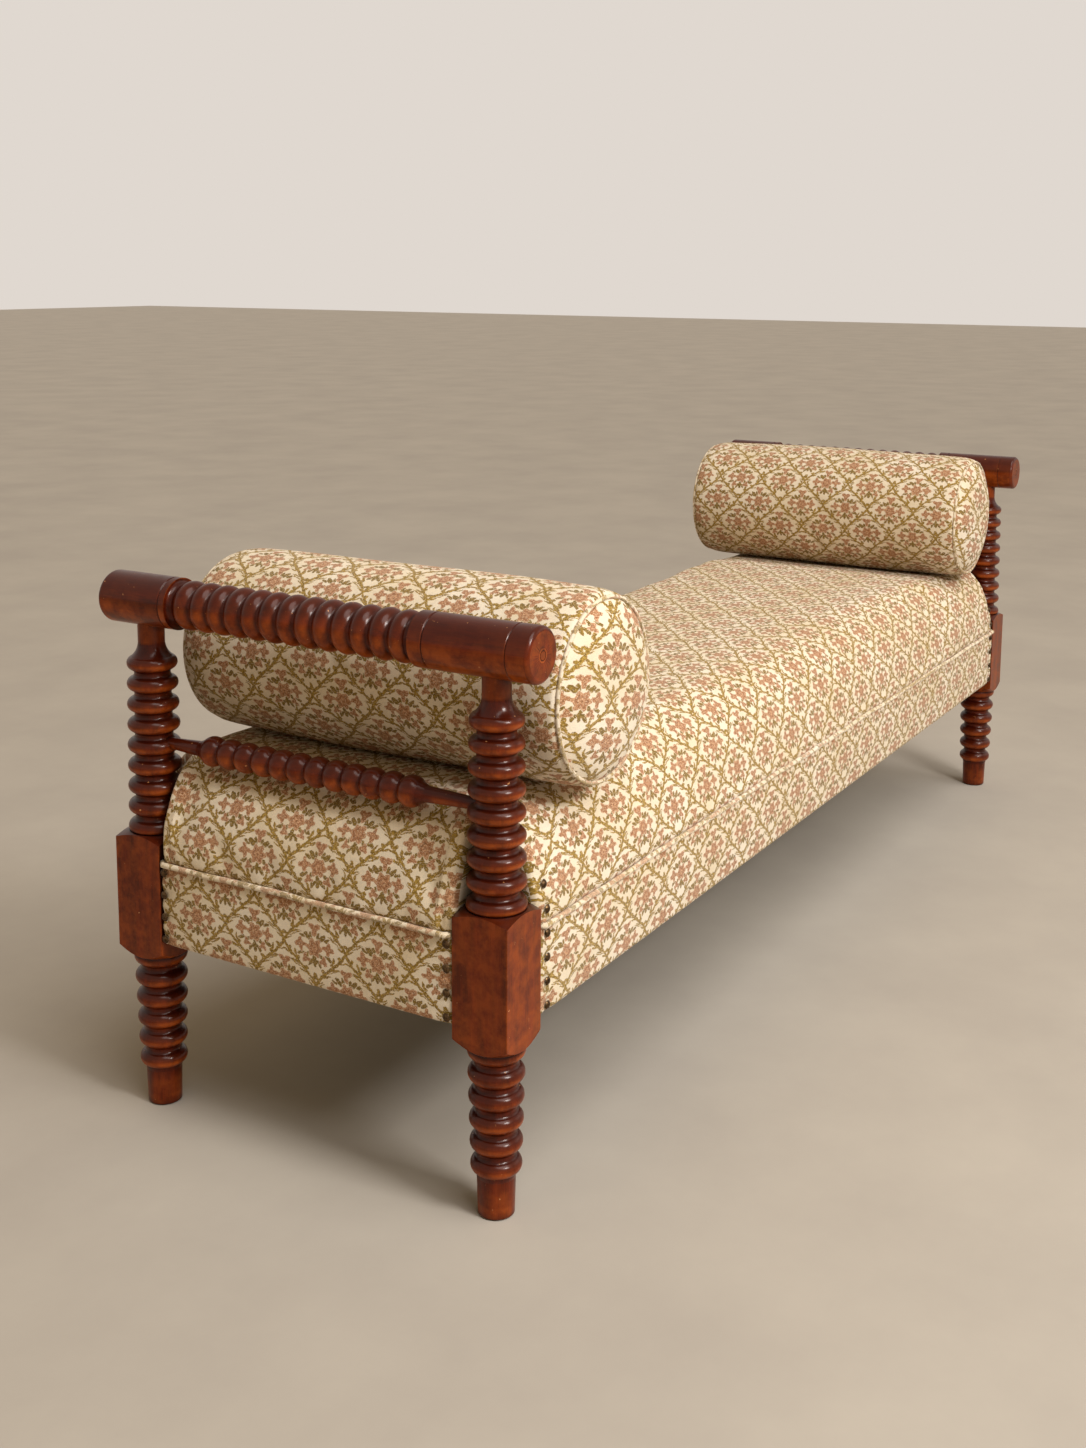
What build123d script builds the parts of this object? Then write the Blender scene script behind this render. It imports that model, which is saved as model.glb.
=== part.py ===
from build123d import *
import os

# Daybed with bobbin-turned posts, a roll rail at each end, a sprung and boxed seat and two loose bolsters.
# Millimetres. +X runs along the bed, +Y across it, +Z up. The origin is on the floor under the middle.
# "near" is the -X end, "far" the +X end, "front" the -Y side and "back" the +Y side.

# ---- driving sizes: posts ----
post_spacing_x = 1995.0  # between post axes, along the bed
post_spacing_y = 540.0  # between post axes, across the bed
foot_height = 50.0  # plain turned foot
foot_radius_top = 23.9
foot_radius_bottom = 22.7
foot_edge = 1.5  # broken edge at the floor
block_side = 77.5  # square part of the post
block_bottom = 229.5  # height of its lower corners
block_height = 151.0  # between lower and upper corners
block_edge = 1.2  # worn arris
shoulder_rise = 8.2  # turned shoulder above the upper corners
shoulder_drop = 12.9  # turned shoulder below the lower corners
leg_bead_count = 6
leg_bead_radius_low = 31.8
leg_bead_radius_high = 35.8
arm_bead_count = 9
arm_bead_radius_low = 37.0
arm_bead_radius_high = 33.2
post_bead_depth = 9.4  # crest to throat
post_cove = 5.6  # radius in the bottom of each groove
neck_radius = 17.7  # under the roll rail
neck_length = 27.0
rail_tenon_radius = 12.0
rail_tenon_length = 24.0

# ---- driving sizes: roll rails and spindles ----
rail_height = 701.0  # axis of the roll rail
rail_radius = 34.5
rail_overhang = 62.0  # past the post axes
rail_ring_count = 13
rail_ring_radius = 32.5
rail_ring_depth = 7.4
rail_cove = 3.2
rail_line_front = 84.0  # scribed line, in from the front post axis
rail_line_back = 44.0  # scribed line, in from the back post axis
rail_collar_front = 27.0  # plain collar inside each line
rail_collar_back = 18.0
rail_line_depth = 1.6
rail_edge = 6.0  # rounded edge at the free ends
cap_length = 31.0  # turned cap on the front end
cap_seam = 1.2  # broken edges at its seam
plug_radius = 8.5
plug_depth = 7.0
plug_ring_radius = 5.8  # ring scribed in the plug
plug_ring_width = 0.9
cap_screw_head = 6.0
cap_screw_head_height = 4.0
cap_screw_radius = 2.5
cap_screw_length = 40.0
spindle_height = 510.5
spindle_bead_count = 12
spindle_bead_pitch = 28.6
spindle_bead_radius = 20.0
spindle_bead_depth = 6.3
spindle_cove = 2.0
spindle_row_shift = 8.0  # the row sits a little towards the back
spindle_rod_radius = 7.8  # at the posts
spindle_rod_swell = 10.4  # beside the beads
spindle_tenon_length = 17.0

# ---- driving sizes: seat ----
seat_bottom = 245.5  # lower edge of the boxed border
piping_height = 357.5
seat_top = 500.0
seat_shoulder = 95.0  # how far the rounded shoulder reaches in
border_thickness = 8.0
cover_thickness = 6.0  # fabric over cotton wadding
piping_radius = 4.3
seat_rail_thickness = 28.0
seat_rail_height = 99.0
seat_rail_lift = 6.5  # above the lower edge of the border
tenon_thickness = 12.0
tenon_height = 60.0
tenon_length = 30.0
brace_leg = 90.0
brace_height = 66.0
brace_screw_length = 40.0
brace_screw_bite = 18.0  # of that length, in the rail
brace_screw_radius = 2.0
brace_screw_head = 4.0
brace_screw_head_height = 2.5
stile_width = 30.0
stile_thickness = 20.0
stile_height = 70.0
stile_skin = 2.0  # stuffing left between a stile and the cover
web_width = 50.0
web_thickness = 1.8
web_bearing = 14.0  # how far a web lies on its rail
web_step = 12.0  # length over which a crosswise web drops under the others
spring_columns = 9
spring_rows = 3
spring_pitch_x = 205.0
spring_pitch_y = 140.0
spring_radius = 42.0
spring_wire_radius = 2.0
spring_height = 146.0
spring_turns = 5.5
spring_gap = 0.7  # from the end coils to the webs and the hessian
hessian_thickness = 1.2
spring_margin = 34.0  # from the outer coils to the edge roll
dust_cover_thickness = 1.2
dust_hem = 9.0
dust_inset = 10.0  # inside the outer face of the border
tack_head_radius = 3.2
tack_head_height = 0.8
tack_radius = 0.9
tack_length = 13.0
web_tack_pitch = 30.0  # the two tacks in one web end
dust_tack_count_long = 14
dust_tack_count_short = 4
nail_head_radius = 5.5
nail_head_height = 2.8
nail_radius = 1.0
nail_length = 24.0
nail_pitch = 30.5
nail_inset_end = 7.5  # from the block, on the ends
nail_inset_side = 15.5  # from the block, on the long sides
nail_rise = 8.5  # lowest nail above the edge of the border
nails_on_end = 4
nails_on_side = 6

# ---- driving sizes: bolsters ----
bolster_radius = 122.0
bolster_length = 606.0
ticking = 2.0  # thickness of the cover
bolster_piping_radius = 4.0
bolster_inset = 170.0  # from the post axis to the bolster's axis
near_bolster_shift = -29.0
far_bolster_shift = 4.0

# ---- clearances ----
glue_gap = 0.05  # round tenons, screws, nails and piping
cloth_gap = 0.3  # between soft pieces and what they lie against

# ---- worked out from the sizes above ----
post_x = post_spacing_x / 2
post_y = post_spacing_y / 2
block_half = block_side / 2
block_top = block_bottom + block_height
inner_x = post_x - block_half  # inner faces of the blocks
inner_y = post_y - block_half
outer_x = post_x + block_half  # outer faces of blocks and seat
outer_y = post_y + block_half
shoulder_radius = max(leg_bead_radius_high, arm_bead_radius_low)
leg_pitch = (block_bottom - shoulder_drop - foot_height) / (leg_bead_count - 0.33)
leg_beads = [foot_height + leg_pitch * (i + 0.5) for i in range(leg_bead_count)]
neck_bottom = rail_height - rail_radius - neck_length
arm_pitch = (neck_bottom - block_top) / (arm_bead_count + 0.3)
arm_beads = [block_top + arm_pitch * (i + 0.5) for i in range(arm_bead_count)]
rail_end = post_y + rail_overhang
cap_joint = -(rail_end - cap_length)
plug_floor = -(rail_end - plug_depth)
cap_screw_seat = plug_floor + cap_screw_head_height
line_front = -(post_y - rail_line_front)
line_back = post_y - rail_line_back
ring_low = line_front + rail_collar_front
ring_high = line_back - rail_collar_back
ring_pitch = (ring_high - ring_low) / rail_ring_count
rings = [ring_low + ring_pitch * (i + 0.5) for i in range(rail_ring_count)]
spindle_end = post_y - max(arm_bead_radius_low, arm_bead_radius_high) + spindle_tenon_length
rail_bottom = seat_bottom + seat_rail_lift
rail_top = rail_bottom + seat_rail_height
seat_rail_x = outer_x - border_thickness - seat_rail_thickness / 2  # middle lines of the hidden seat rails
seat_rail_y = outer_y - border_thickness - seat_rail_thickness / 2
rail_in_x = seat_rail_x - seat_rail_thickness / 2
rail_in_y = seat_rail_y - seat_rail_thickness / 2
rail_middle = (rail_bottom + rail_top) / 2
spring_xs = [spring_pitch_x * (i - (spring_columns - 1) / 2) for i in range(spring_columns)]
spring_ys = [spring_pitch_y * (i - (spring_rows - 1) / 2) for i in range(spring_rows)]
spring_top = rail_bottom + spring_height
cavity_x = spring_xs[-1] + spring_radius + spring_margin
cavity_y = spring_ys[-1] + spring_radius + spring_margin
web_end_x = rail_in_x + web_bearing
web_end_y = rail_in_y + web_bearing
low_web_top = rail_bottom - web_thickness
dust_top = rail_bottom - 2 * web_thickness
bolster_z = seat_top + cloth_gap + bolster_radius
bolster_x = post_x - bolster_inset
ends = {"near": -1, "far": 1}
sides = {"front": -1, "back": 1}
corners = [(end, side) for end in ends for side in sides]


def spread(low, high, count):
    return [low + (high - low) * i / (count - 1) for i in range(count)]


def shoulder(height, inset=0.0):
    """How far the rounded shoulder of the seat has come in at this height, and the slope of its normal."""
    share = max(0.0, (height - piping_height) / (seat_top - inset - piping_height))
    across = (1 - share**2) ** 0.5
    reach = seat_shoulder - inset
    return reach * (1 - across), (share * reach) / (across * (seat_top - inset - piping_height))


def nail_planes(end, side):
    """Where the nails of one corner stand: a row on the end, and a longer one on the long side."""
    heights = [seat_bottom + nail_rise + nail_pitch * i for i in range(max(nails_on_end, nails_on_side))]
    planes = []
    for height in heights[:nails_on_end]:
        spot = (ends[end] * (outer_x + glue_gap), sides[side] * (inner_y - nail_inset_end), height)
        planes.append(Plane(spot, x_dir=(0, 1, 0), z_dir=(ends[end], 0, 0)))
    for height in heights[:nails_on_side]:
        lean, slope = shoulder(height)
        spot = (ends[end] * (inner_x - nail_inset_side), sides[side] * (outer_y - lean + glue_gap), height)
        planes.append(Plane(spot, x_dir=(1, 0, 0), z_dir=(0, sides[side], slope)))
    return planes


def save(piece, name):
    piece.label = name
    export_step(piece, f"parts/{name}.step")


def dome(inset):
    """The stuffed top of the seat, with rounded shoulders and its corners notched round the posts."""
    top = seat_top - inset
    passes = ((Plane.XZ, outer_x, outer_y, Mode.ADD), (Plane.YZ, outer_y, outer_x, Mode.INTERSECT))
    with BuildPart() as stuffed:
        for plane, half, depth, mode in passes:
            centre = half - seat_shoulder
            with BuildSketch(plane):
                with BuildLine():
                    reach = (seat_shoulder - inset, top - piping_height)
                    EllipticalCenterArc((centre, piping_height), *reach, start_angle=0, arc_size=90)
                    EllipticalCenterArc((-centre, piping_height), *reach, start_angle=90, arc_size=90)
                    Line((centre, top), (-centre, top))
                    Line((inset - half, piping_height), (half - inset, piping_height))
                make_face()
            extrude(amount=depth, both=True, mode=mode)
    return stuffed.part


def turned_beads(centres, crests, depth, cove):
    """Draw a row of round beads with a small cove in each groove, and return its two ends."""
    half = (centres[1] - centres[0]) / 2
    swell = (depth**2 + half**2) / (2 * depth) - cove
    rise = swell * half / (swell + cove)
    foot = swell - (swell**2 - rise**2) ** 0.5
    ends_drawn = []
    for centre, crest in zip(centres, crests):
        low = (crest - foot, centre - rise)
        high = (crest - foot, centre + rise)
        if ends_drawn:
            ThreePointArc(ends_drawn[-1], (crest - depth, centre - half), low)
        ThreePointArc(low, (crest, centre), high)
        ends_drawn += [low, high]
    return ends_drawn[0], ends_drawn[-1]


os.makedirs("parts", exist_ok=True)

# ---- the four posts ----
# Each is one turning: foot, leg beads, square block with turned shoulders, arm beads, neck and tenon.
for end, side in corners:
    x = ends[end] * post_x
    y = sides[side] * post_y
    axis = Axis((x, y, 0), (0, 0, 1))
    section = Plane((x, y, 0), x_dir=(1, 0, 0), z_dir=(0, -1, 0))
    with BuildPart() as post:
        with BuildSketch(Plane((x, y, block_bottom - shoulder_drop))):
            Rectangle(block_side, block_side)
        extrude(amount=block_height + shoulder_drop + shoulder_rise)
        fillet(post.edges().filter_by(Axis.Z), radius=block_edge)
        with BuildSketch(section):
            reach = block_side * 0.75
            slope_low = (reach - shoulder_radius) * shoulder_drop / (block_half * 2**0.5 - shoulder_radius)
            slope_high = (reach - shoulder_radius) * shoulder_rise / (block_half * 2**0.5 - shoulder_radius)
            with BuildLine():
                Polyline(
                    (0, block_bottom - shoulder_drop),
                    (shoulder_radius, block_bottom - shoulder_drop),
                    (reach, block_bottom - shoulder_drop + slope_low),
                    (reach, block_top + shoulder_rise - slope_high),
                    (shoulder_radius, block_top + shoulder_rise),
                    (0, block_top + shoulder_rise),
                    close=True,
                )
            make_face()
        revolve(axis=axis, mode=Mode.INTERSECT)
        with BuildSketch(section):
            with BuildLine():
                crests = spread(leg_bead_radius_low, leg_bead_radius_high, leg_bead_count)
                low, high = turned_beads(leg_beads, crests, post_bead_depth, post_cove)
                Polyline((0, 0), (foot_radius_bottom - foot_edge, 0), (foot_radius_bottom, foot_edge))
                Line((foot_radius_bottom, foot_edge), (foot_radius_top, foot_height - foot_edge))
                Line((foot_radius_top, foot_height - foot_edge), low)
                Polyline(high, (0, high[1]), (0, 0))
            make_face()
        revolve(axis=axis)
        with BuildSketch(section):
            with BuildLine():
                crests = spread(arm_bead_radius_low, arm_bead_radius_high, arm_bead_count)
                low, high = turned_beads(arm_beads, crests, post_bead_depth, post_cove)
                flare = neck_bottom + neck_length * 0.25
                bend = ((high[0] + 3 * neck_radius) / 4, high[1] + (flare - high[1]) * 0.45)
                ThreePointArc(high, bend, (neck_radius, flare))
                neck_top = rail_height - rail_radius / 2
                Polyline((neck_radius, flare), (neck_radius, neck_top), (0, neck_top), (0, low[1]), low)
            make_face()
        revolve(axis=axis)
        with Locations(Location((x, y, rail_height), (90, 0, 0))):
            Cylinder(rail_radius + glue_gap, 4 * neck_radius, mode=Mode.SUBTRACT)
        with BuildSketch(Plane((x, y, neck_bottom))):
            Circle(rail_tenon_radius)
        extrude(amount=neck_length + rail_tenon_length)
        # mortises for the two seat rails, and the socket for the spindle
        deep = tenon_length + 2 * cloth_gap
        wide = tenon_thickness + 2 * glue_gap
        high = tenon_height + 2 * glue_gap
        with Locations((ends[end] * (inner_x + tenon_length / 2), sides[side] * seat_rail_y, rail_middle)):
            Box(deep, wide, high, mode=Mode.SUBTRACT)
        with Locations((ends[end] * seat_rail_x, sides[side] * (inner_y + tenon_length / 2), rail_middle)):
            Box(wide, deep, high, mode=Mode.SUBTRACT)
        socket_y = sides[side] * (spindle_end + cloth_gap - post_y / 2)
        with Locations(Location((x, socket_y, spindle_height), (90, 0, 0))):
            Cylinder(spindle_rod_radius + glue_gap, post_y, mode=Mode.SUBTRACT)
    save(post.part, f"post_{end}_{side}")

# ---- roll rails, with their turned caps, cap screws and wooden plugs ----
for end in ends:
    x = ends[end] * post_x
    middle = Plane((x, 0, rail_height))
    axis = Axis((x, 0, rail_height), (0, 1, 0))
    line = rail_line_depth
    with BuildPart() as top_rail:
        with BuildSketch(middle):
            with BuildLine():
                crests = [rail_ring_radius] * rail_ring_count
                low, high = turned_beads(rings, crests, rail_ring_depth, rail_cove)
                Polyline(
                    (0, cap_joint),
                    (rail_radius - cap_seam, cap_joint),
                    (rail_radius, cap_joint + cap_seam),
                    (rail_radius, line_front - line),
                    (rail_radius - line, line_front),
                    (rail_radius, line_front + line),
                )
                Line((rail_radius, line_front + line), (rail_radius, ring_low - rail_ring_depth))
                scoop = (rail_radius + low[0] - rail_cove) / 2 - rail_cove
                turn_front = ring_low - rail_ring_depth
                ThreePointArc((rail_radius, turn_front), (scoop, ring_low - rail_cove), low)
                turn_back = ring_high + rail_ring_depth
                ThreePointArc(high, (scoop, ring_high + rail_cove), (rail_radius, turn_back))
                Polyline(
                    (rail_radius, turn_back),
                    (rail_radius, line_back - line),
                    (rail_radius - line, line_back),
                    (rail_radius, line_back + line),
                    (rail_radius, rail_end - rail_edge),
                )
                turn = (rail_radius, rail_end - rail_edge)
                RadiusArc(turn, (rail_radius - rail_edge, rail_end), -rail_edge)
                Polyline((rail_radius - rail_edge, rail_end), (0, rail_end), (0, cap_joint))
            make_face()
        revolve(axis=axis)
        with Locations((x, -post_y, rail_height - rail_radius), (x, post_y, rail_height - rail_radius)):
            Cylinder(
                rail_tenon_radius + glue_gap,
                rail_tenon_length + cloth_gap,
                align=(Align.CENTER, Align.CENTER, Align.MIN),
                mode=Mode.SUBTRACT,
            )
        screw_reach = cap_screw_seat + cap_screw_length + cloth_gap
        with Locations(Location((x, (cap_joint + screw_reach) / 2, rail_height), (90, 0, 0))):
            Cylinder(cap_screw_radius + glue_gap, screw_reach - cap_joint, mode=Mode.SUBTRACT)
    save(top_rail.part, f"top_rail_{end}")

    with BuildPart() as cap:
        with BuildSketch(middle):
            with BuildLine():
                Polyline(
                    (cap_screw_radius + glue_gap, cap_joint),
                    (cap_screw_radius + glue_gap, cap_screw_seat),
                    (plug_radius + glue_gap, cap_screw_seat),
                    (plug_radius + glue_gap, -rail_end),
                    (rail_radius - rail_edge, -rail_end),
                )
                turn = (rail_radius, rail_edge - rail_end)
                RadiusArc((rail_radius - rail_edge, -rail_end), turn, -rail_edge)
                Polyline(
                    (rail_radius, rail_edge - rail_end),
                    (rail_radius, cap_joint - cap_seam),
                    (rail_radius - cap_seam, cap_joint),
                    (cap_screw_radius + glue_gap, cap_joint),
                )
            make_face()
        revolve(axis=axis)
    save(cap.part, f"top_rail_cap_{end}")

    with BuildPart() as cap_screw:
        with BuildSketch(middle):
            with Locations((0, (plug_floor + cap_screw_seat) / 2)):
                Rectangle(2 * cap_screw_head, cap_screw_head_height)
            with Locations((0, cap_screw_seat + cap_screw_length / 2)):
                Rectangle(2 * cap_screw_radius, cap_screw_length)
            with Locations((0, cap_screw_seat)):
                half = (Align.MAX, Align.CENTER)
                Rectangle(2 * cap_screw_head, 3 * cap_screw_length, align=half, mode=Mode.SUBTRACT)
        revolve(axis=axis)
    save(cap_screw.part, f"top_rail_cap_screw_{end}")

    with BuildPart() as plug:
        with BuildSketch(Plane((x, plug_floor, rail_height), x_dir=(1, 0, 0), z_dir=(0, -1, 0))):
            Circle(plug_radius)
        extrude(amount=plug_depth)
        with BuildSketch(Plane((x, -rail_end, rail_height), x_dir=(1, 0, 0), z_dir=(0, -1, 0))):
            Circle(plug_ring_radius + plug_ring_width / 2)
            Circle(plug_ring_radius - plug_ring_width / 2, mode=Mode.SUBTRACT)
        extrude(amount=-plug_ring_width, mode=Mode.SUBTRACT)
    save(plug.part, f"top_rail_plug_{end}")

    # ---- the spindle between the posts, under the roll rail ----
    with BuildPart() as spindle:
        with BuildSketch(Plane((x, 0, spindle_height))):
            with BuildLine():
                beads = [
                    spindle_row_shift + spindle_bead_pitch * (i - (spindle_bead_count - 1) / 2)
                    for i in range(spindle_bead_count)
                ]
                low, high = turned_beads(
                    beads, [spindle_bead_radius] * spindle_bead_count, spindle_bead_depth, spindle_cove
                )
                taper = spindle_bead_pitch / 3
                Polyline(
                    low,
                    (spindle_rod_swell, low[1] - taper),
                    (spindle_rod_radius, -(post_y - arm_bead_radius_low)),
                    (spindle_rod_radius, -spindle_end),
                    (0, -spindle_end),
                    (0, spindle_end),
                    (spindle_rod_radius, spindle_end),
                    (spindle_rod_radius, post_y - arm_bead_radius_low),
                    (spindle_rod_swell, high[1] + taper),
                    high,
                )
            make_face()
        revolve(axis=Axis((x, 0, spindle_height), (0, 1, 0)))
    save(spindle.part, f"spindle_{end}")

# ---- the hidden seat rails, tenoned into the blocks ----
all_nails = [plane for end, side in corners for plane in nail_planes(end, side)]
tack_pairs = (-web_tack_pitch / 2, web_tack_pitch / 2)
web_tack_x = rail_in_x + web_bearing / 2
web_tack_y = rail_in_y + web_bearing / 2
both = (-1, 1)
web_tacks = [(px + shift, sign * web_tack_y) for px in spring_xs for shift in tack_pairs for sign in both]
web_tacks += [(sign * web_tack_x, py + shift) for py in spring_ys for shift in tack_pairs for sign in both]
hem_x = outer_x - dust_inset - dust_hem / 2
hem_y = outer_y - dust_inset - dust_hem / 2
dust_xs = spread(-cavity_x, cavity_x, dust_tack_count_long)
dust_ys = spread(-cavity_y, cavity_y, dust_tack_count_short)
dust_tacks = [(px, sign * hem_y) for px in dust_xs for sign in both]
dust_tacks += [(sign * hem_x, py) for py in dust_ys for sign in both]
web_tack_spots = [(px, py, low_web_top) for px, py in web_tacks]
dust_tack_spots = [(px, py, dust_top - dust_cover_thickness) for px, py in dust_tacks]
brace_x = inner_x - cloth_gap
brace_y = inner_y - cloth_gap
screw_hold = brace_screw_length - brace_screw_bite
brace_screws = []
for end, side in corners:
    spot = (ends[end] * (brace_x - brace_leg * 0.3), sides[side] * (rail_in_y - screw_hold), rail_middle)
    brace_screws.append(Plane(spot, x_dir=(1, 0, 0), z_dir=(0, sides[side], 0)))
    spot = (ends[end] * (rail_in_x - screw_hold), sides[side] * (brace_y - brace_leg * 0.3), rail_middle)
    brace_screws.append(Plane(spot, x_dir=(0, 1, 0), z_dir=(ends[end], 0, 0)))
up = (Align.CENTER, Align.CENTER, Align.MIN)
down = (Align.CENTER, Align.CENTER, Align.MAX)


def bore_for_fixings():
    """Cut the holes that nails, tacks and brace screws make in the piece being built."""
    with Locations(*all_nails):
        Cylinder(nail_radius + glue_gap, nail_length + 2 * glue_gap, align=down, mode=Mode.SUBTRACT)
    with Locations(*web_tack_spots, *dust_tack_spots):
        Cylinder(tack_radius + glue_gap, tack_length + glue_gap, align=up, mode=Mode.SUBTRACT)
    with Locations(*brace_screws):
        Cylinder(brace_screw_radius + glue_gap, brace_screw_length + glue_gap, align=up, mode=Mode.SUBTRACT)


for side in sides:
    with BuildPart() as seat_rail:
        with Locations((0, sides[side] * seat_rail_y, rail_middle)):
            Box(2 * inner_x, seat_rail_thickness, seat_rail_height)
            Box(2 * (inner_x + tenon_length), tenon_thickness, tenon_height)
        bore_for_fixings()
    save(seat_rail.part, f"side_rail_{side}")
for end in ends:
    with BuildPart() as seat_rail:
        with Locations((ends[end] * seat_rail_x, 0, rail_middle)):
            Box(seat_rail_thickness, 2 * inner_y, seat_rail_height)
            Box(tenon_thickness, 2 * (inner_y + tenon_length), tenon_height)
        bore_for_fixings()
    save(seat_rail.part, f"end_rail_{end}")

# ---- corner braces behind the posts, and their screws ----
for end, side in corners:
    with BuildPart() as brace:
        with BuildSketch(Plane.XY.offset(rail_middle - brace_height / 2)):
            outline = [
                (brace_x, rail_in_y),
                (brace_x - brace_leg, rail_in_y),
                (rail_in_x, brace_y - brace_leg),
                (rail_in_x, brace_y),
                (brace_x, brace_y),
            ]
            with BuildLine():
                Polyline(*[(ends[end] * px, sides[side] * py) for px, py in outline], close=True)
            make_face()
        extrude(amount=brace_height)
        bore_for_fixings()
        with Locations(*brace_screws):
            Cylinder(brace_screw_head + glue_gap, brace_leg, align=down, mode=Mode.SUBTRACT)
    save(brace.part, f"corner_brace_{end}_{side}")
with BuildPart() as corner_screws:
    with Locations(*brace_screws):
        Cylinder(brace_screw_radius, brace_screw_length, align=up)
        Cylinder(brace_screw_head, brace_screw_head_height, align=down)
save(corner_screws.part, "corner_screws")

# ---- short stiles on the side rails, which take the nails above the piping ----
stile_top = rail_top + stile_height
stile_lean = shoulder(stile_top, cover_thickness)[0]
stile_y = outer_y - cover_thickness - stile_lean - stile_skin - stile_thickness / 2
stile_x = inner_x - cover_thickness - 2 * cloth_gap - stile_width / 2
stile_spots = [(ends[end] * stile_x, sides[side] * stile_y, rail_top) for end, side in corners]
with BuildPart() as stiles:
    with Locations(*stile_spots):
        Box(stile_width, stile_thickness, stile_height, align=up)
    bore_for_fixings()
save(stiles.part, "tacking_stiles")

# ---- webbing under the rails, and its tacks ----
with BuildPart() as webs_long:
    with Locations(*[(0, py, low_web_top) for py in spring_ys]):
        Box(2 * web_end_x, web_width, web_thickness, align=up)
    bore_for_fixings()
save(webs_long.part, "webbing_lengthwise")
with BuildPart() as webs_cross:
    for px in spring_xs:
        with BuildSketch(Plane.YZ.offset(px - web_width / 2)):
            with BuildLine():
                under = [
                    (-web_end_y, rail_bottom),
                    (-rail_in_y, rail_bottom),
                    (web_step - rail_in_y, low_web_top),
                    (rail_in_y - web_step, low_web_top),
                    (rail_in_y, rail_bottom),
                    (web_end_y, rail_bottom),
                ]
                Polyline(*under, *[(py, pz - web_thickness) for py, pz in reversed(under)], close=True)
            make_face()
        extrude(amount=web_width)
    bore_for_fixings()
save(webs_cross.part, "webbing_crosswise")
with BuildPart() as web_tack_set:
    with Locations(*web_tack_spots):
        Cylinder(tack_radius, tack_length, align=up)
        Cylinder(tack_head_radius, tack_head_height, align=down)
save(web_tack_set.part, "webbing_tacks")

# ---- coil springs on the webbing, in three rows, with a hessian over them ----
coil_rise = spring_height - 2 * spring_wire_radius - 2 * spring_gap
with BuildPart() as coil:
    with BuildLine():
        wire = Helix(coil_rise / spring_turns, coil_rise, spring_radius)
    with BuildSketch(Plane(wire @ 0, z_dir=wire % 0)):
        Circle(spring_wire_radius)
    sweep(path=wire, is_frenet=True)
row_names = {"front": spring_ys[0], "middle": spring_ys[len(spring_ys) // 2], "back": spring_ys[-1]}
for name, py in row_names.items():
    with BuildPart() as spring_row:
        with Locations(*[(px, py, rail_bottom + spring_wire_radius + spring_gap) for px in spring_xs]):
            add(coil.part)
    save(spring_row.part, f"spring_row_{name}")
with BuildPart() as hessian:
    with Locations((0, 0, spring_top)):
        Box(2 * cavity_x, 2 * cavity_y, hessian_thickness, align=up)
save(hessian.part, "spring_hessian")

# ---- boxed border, one strip between each pair of posts ----
groove = piping_radius + glue_gap
piping_x = 2 * (inner_x - cloth_gap)
piping_y = 2 * (inner_y - cloth_gap)
along_x = [Location((0, sign * outer_y, piping_height), (0, 90, 0)) for sign in (-1, 1)]
along_y = [Location((sign * outer_x, 0, piping_height), (90, 0, 0)) for sign in (-1, 1)]


def groove_for_piping():
    """Let the piece being built lie round the piping."""
    with Locations(*along_x):
        Cylinder(groove, 2 * outer_x, mode=Mode.SUBTRACT)
    with Locations(*along_y):
        Cylinder(groove, 2 * outer_y, mode=Mode.SUBTRACT)


border_height = piping_height - seat_bottom
for side in sides:
    with BuildPart() as border:
        with Locations((0, sides[side] * (outer_y - border_thickness / 2), seat_bottom)):
            Box(piping_x, border_thickness, border_height, align=up)
        groove_for_piping()
        bore_for_fixings()
    save(border.part, f"seat_border_{side}")
for end in ends:
    with BuildPart() as border:
        with Locations((ends[end] * (outer_x - border_thickness / 2), 0, seat_bottom)):
            Box(border_thickness, piping_y, border_height, align=up)
        groove_for_piping()
        bore_for_fixings()
    save(border.part, f"seat_border_{end}")
with BuildPart() as seat_piping:
    with Locations(*along_x):
        Cylinder(piping_radius, piping_x)
    with Locations(*along_y):
        Cylinder(piping_radius, piping_y)
save(seat_piping.part, "seat_piping")

# ---- stuffing: a pad over the springs with an edge roll standing on the seat rails ----
outer_dome = dome(0)
inner_dome = dome(cover_thickness)
stuffing_dome = dome(cover_thickness + cloth_gap)


def notch_corners(inset, low, high):
    """Clear the four posts from the piece being built."""
    side_length = 2 * (block_side + cloth_gap + inset)
    with Locations(*[(ends[end] * outer_x, sides[side] * outer_y, low) for end, side in corners]):
        Box(side_length, side_length, high - low, align=up, mode=Mode.SUBTRACT)


def slit_for_nails():
    """Open the piece being built where the nails above the piping go in."""
    with Locations(*[plane for plane in all_nails if plane.origin.Z > piping_height]):
        Box(*[2 * (nail_radius + glue_gap)] * 2, nail_length + cloth_gap, align=down, mode=Mode.SUBTRACT)


with BuildPart() as cover_void:
    add(inner_dome)
    notch_corners(cover_thickness, piping_height, seat_top)
with BuildPart() as stuffing:
    add(stuffing_dome)
    with Locations((0, 0, rail_top)):
        skirt_x = outer_x - border_thickness - cloth_gap
        skirt_y = outer_y - border_thickness - cloth_gap
        Box(2 * skirt_x, 2 * skirt_y, piping_height - rail_top, align=up)
    notch_corners(cover_thickness + cloth_gap, rail_top, seat_top)
    with Locations((0, 0, rail_top)):
        cavity_height = spring_top + hessian_thickness - rail_top
        Box(2 * cavity_x, 2 * cavity_y, cavity_height, align=up, mode=Mode.SUBTRACT)
    with Locations(*stile_spots):
        pocket = (stile_width + 2 * cloth_gap, stile_thickness + 2 * cloth_gap, stile_height + cloth_gap)
        Box(*pocket, align=up, mode=Mode.SUBTRACT)
    slit_for_nails()
save(stuffing.part, "seat_stuffing")

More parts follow.
